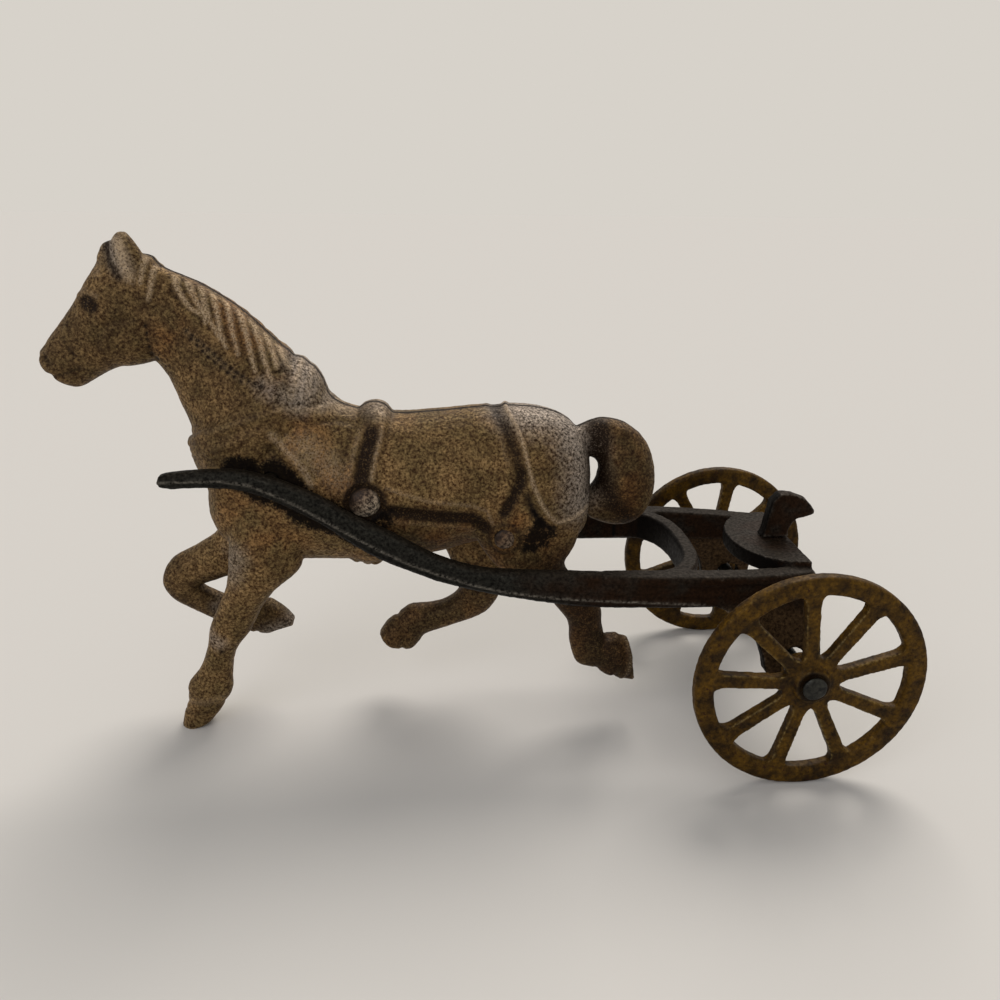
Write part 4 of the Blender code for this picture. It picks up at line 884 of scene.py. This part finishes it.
# The wheels: nine-spoke iron castings, loose on the axle, in mustard paint gone brown.
# Rust specks come through it, and the corners of the spokes are rubbed pale.
RIM_RADIUS = 25.0
RIM_DEPTH = 4.2
RIM_HALF = 1.6
SPOKES = 9
SPOKE_HALF = 1.2             # half the thickness of a spoke, along the axle
SPOKE_WIDTHS = (2.7, 3.2)    # at the hub and at the rim
SPOKE_START = 4.0            # how far from the axle's middle a spoke begins, inside the hub
SPOKE_SINK = 1.2             # how far its outer end runs into the rim
RIM_FLARE = (1.7, 2.2)       # how much wider a spoke gets at the rim, over what length
HUB_FLARE = (1.0, 1.8)       # and at the hub
RIM_CORNER = 0.6
FACE_INSET = 0.6             # the rim's outer face lies this far inside the hub's end
HUB_WEB = 6.0                # radius of the thin plate that the spokes grow from
BOSS_RADIUS = 4.0
BORE_RADIUS = 1.68
BORE_REACH = 20              # how far the tool for the bore reaches each way
HUB_GRIME = 3.9              # the hub is dark within this radius
WHEEL_GRAIN = 0.3 * MM
WHEEL_ROUNDS = 5

# Matt ochre paint on a casting: clouded with brown, with rust specks about a millimetre apart.
mustard, tree, shader, where, rubbed, dirty = new_finish("mustard_paint_gone_brown", "rubbed", "dirty")
grain = add(tree, "TexNoise", {"Vector": where, "Scale": 1 / (0.8 * MM), "Detail": 3, "Roughness": 0.65})
cloud = add(tree, "TexNoise", {"Vector": where, "Scale": 1 / (4 * MM), "Detail": 5, "Roughness": 0.6})
crests = add(tree, "MapRange", {"Value": grain, "From Min": 0.35, "From Max": 0.68})
base, ochre = (add(tree, "Mix", {0: crests, 6: pit, 7: crest}, out=2, data_type="RGBA")
               for pit, crest in (("#1a0f03", "#33230a"), ("#3c2909", "#62460e")))
clouds = add(tree, "MapRange", {"Value": cloud, "From Min": 0.38, "From Max": 0.6})
speck = add(tree, "TexNoise", {"Vector": where, "Scale": 1 / (1.1 * MM), "Detail": 4, "Roughness": 0.75})
specks = add(tree, "MapRange", {"Value": speck, "From Min": 0.58, "From Max": 0.68})
bright_share = add(tree, "Math", {0: rubbed, 1: crests}, operation="MULTIPLY")
for share, layer in ((clouds, ochre), (specks, "#2a140a"), (bright_share, "#a08a58"), (dirty, "#120b06")):
    base = add(tree, "Mix", {0: share, 6: base, 7: layer}, out=2, data_type="RGBA")
gloss = add(tree, "MapRange", {"Value": grain, "From Min": 0.35, "From Max": 0.7,
                               "To Min": 0.65, "To Max": 0.42})
bump = add(tree, "Bump", {"Height": grain, "Strength": 0.6, "Distance": 0.12 * MM})
feed(tree, shader, {"Base Color": base, "Roughness": gloss, "Normal": bump, "Specular IOR Level": 0.1})

rim_inner = RIM_RADIUS - RIM_DEPTH
spoke_length = rim_inner + SPOKE_SINK - SPOKE_START
spoke = plain("spoke", bpy.ops.mesh.primitive_cube_add, size=MM)
edit(spoke, (bpy.ops.transform.resize, dict(value=(spoke_length, 2 * SPOKE_HALF, 1))),
     (bpy.ops.transform.translate, dict(value=((SPOKE_START + spoke_length / 2) * MM, 0, 0))),
     (bpy.ops.mesh.subdivide, dict(number_cuts=15)))
for vertex in spoke.data.vertices:
    out = vertex.co.x / MM
    share = (out - HUB_WEB) / (rim_inner - HUB_WEB)
    width = SPOKE_WIDTHS[0] + (SPOKE_WIDTHS[1] - SPOKE_WIDTHS[0]) * share
    for (wider, run), gap in ((RIM_FLARE, rim_inner - out), (HUB_FLARE, out - HUB_WEB)):
        width += wider * max(0, 1 - gap / run) ** 2
    vertex.co.z *= width

for side, node, spoke_turn in ((-1, "wheel_left", math.radians(96)), (1, "wheel_right", math.radians(82))):
    low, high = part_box(node)
    hub_inner, hub_outer = (high.y, low.y) if side < 0 else (low.y, high.y)
    face = hub_outer / MM - side * FACE_INSET
    middle = face - side * RIM_HALF
    hub_end = hub_inner / MM - middle
    boss = hub_outer / MM - middle
    near, far = RIM_HALF - RIM_CORNER, RIM_HALF
    rim = [(rim_inner, -near), (rim_inner + RIM_CORNER, -far), (RIM_RADIUS - RIM_CORNER, -far),
           (RIM_RADIUS, -near), (RIM_RADIUS, near), (RIM_RADIUS - RIM_CORNER, far),
           (rim_inner + RIM_CORNER, far), (rim_inner, near), (rim_inner, -near)]
    centre = Vector((AXLE.x, middle * MM, AXLE.z))
    bodies = [turned("rim", centre, rim, 120)]
    web = [(0, -SPOKE_HALF), (HUB_WEB - 0.5, -SPOKE_HALF), (HUB_WEB, 0), (HUB_WEB - 0.5, SPOKE_HALF),
           (0, SPOKE_HALF)]
    bodies.append(turned("web", centre, web))
    inward = math.copysign(1, hub_end)
    nave = [(0, hub_end), (BOSS_RADIUS - 0.4, hub_end), (BOSS_RADIUS, hub_end - inward * 0.4),
            (BOSS_RADIUS, boss + inward * 0.5), (BOSS_RADIUS - 0.4, boss), (BOSS_RADIUS - 0.8, boss),
            (BOSS_RADIUS - 1.1, boss + inward * 0.4), (0, boss + inward * 0.4)]
    bodies.append(turned("nave", centre, nave))
    for index in range(SPOKES):
        arm = link("arm", spoke.data.copy())
        angle = spoke_turn + math.tau * index / SPOKES
        arm.data.transform(Matrix.Translation(centre) @ Matrix.Rotation(-angle, 4, "Y"))
        bodies.append(arm)
    name = node.replace("wheel", "road_wheel")
    tyre = cast_together(name, bodies, WHEEL_GRAIN, WHEEL_ROUNDS)
    points, facing = surface(tyre)
    points += facing * (sand_bumps(points, 1.3, 0.07) * MM)[:, None]
    away = np.hypot(points[:, 0] - AXLE.x, points[:, 2] - AXLE.z)
    shrink = np.minimum(1, RIM_RADIUS * MM / np.maximum(away, 1e-6))
    points[:, 0] = AXLE.x + (points[:, 0] - AXLE.x) * shrink
    points[:, 2] = AXLE.z + (points[:, 2] - AXLE.z) * shrink
    points[:, 1] = np.clip(points[:, 1], low.y, high.y)
    move_surface(tyre, points)
    cut(tyre, bar("bore", 0, AXLE.z / MM, BORE_RADIUS, middle - BORE_REACH, middle + BORE_REACH, 48))
    bend = hollowness(tyre)
    points = surface(tyre)[0]
    away = np.hypot(points[:, 0] - AXLE.x, points[:, 2] - AXLE.z) / MM
    ring = np.clip((HUB_GRIME - away) / 0.6, 0, 1)
    mark(tyre, rubbed=np.clip(-bend * 0.8 - 0.4, 0, 0.8) * (1 - ring),
         dirty=np.maximum(np.clip(bend * 0.8 - 0.1, 0, 0.8), 0.85 * ring))
    coat(tyre, mustard)
    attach(tyre, "left_wheel" if side < 0 else "right_wheel")
    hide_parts(node)
bpy.data.objects.remove(spoke)

# The studio: a plain pale sheet under and behind the toy, soft light from above and behind,
# and the camera at the height and angle of the picture.
CAMERA_PLACE = (-0.01054, -0.18461, 0.12407)
CAMERA_YAW = 0.07876         # to the right of +Y, in radians
CAMERA_PITCH = 0.35986       # down from level
CAMERA_ROLL = 0.01135
CAMERA_LENS = 30.86          # in mm, for a sensor 36 mm wide
FLOOR_WIDTH = 6

floor = plain("floor", bpy.ops.mesh.primitive_plane_add, size=FLOOR_WIDTH)
paper, tree, shader, _ = new_finish("pale_matt_paper")
feed(tree, shader, {"Base Color": "#d8d6d2", "Roughness": 1.0, "Specular IOR Level": 0.0})
floor.data.materials.append(paper)

world = bpy.data.worlds.new("soft_room")
bpy.context.scene.world = world
world.use_nodes = True
tree = world.node_tree
seen, mirrored, passed = (add(tree, "LightPath", {}, out=index) for index in (0, 3, 6))
shown = add(tree, "Math", {0: mirrored, 1: passed}, operation="MAXIMUM")
shown = add(tree, "Math", {0: seen, 1: shown}, operation="MAXIMUM")
room = add(tree, "Background", {"Color": "#e4e2de", "Strength": 0.55})
backdrop = add(tree, "Background", {"Color": "#d7d2ca", "Strength": 1.0})
sky = add(tree, "MixShader", {0: shown, 1: room, 2: backdrop})
tree.links.new(sky, tree.nodes["World Output"].inputs["Surface"])

for name, place, spread, power, tint in (("window", (0.25, 0.55, 0.75), 35, 1.9, "#fff8f0"),
                                         ("bounce", (-0.5, -0.7, 0.5), 45, 0.65, "#f8f6ff")):
    lamp = bpy.data.lights.new(name, "SUN")
    lamp.angle = math.radians(spread)
    lamp.energy = power
    lamp.color = linear(tint)[:3]
    holder = link(name, lamp)
    holder.rotation_euler = (-Vector(place)).to_track_quat("-Z", "Y").to_euler()

lens = bpy.data.cameras.new("camera")
lens.lens = CAMERA_LENS
lens.sensor_width = 36
lens.clip_start = 0.01
camera = link("camera", lens)
camera.matrix_world = (Matrix.Translation(CAMERA_PLACE) @ Matrix.Rotation(-CAMERA_YAW, 4, "Z")
                       @ Matrix.Rotation(math.pi / 2 - CAMERA_PITCH, 4, "X")
                       @ Matrix.Rotation(CAMERA_ROLL, 4, "Z"))
bpy.context.scene.camera = camera
bpy.context.scene.view_settings.view_transform = "Standard"
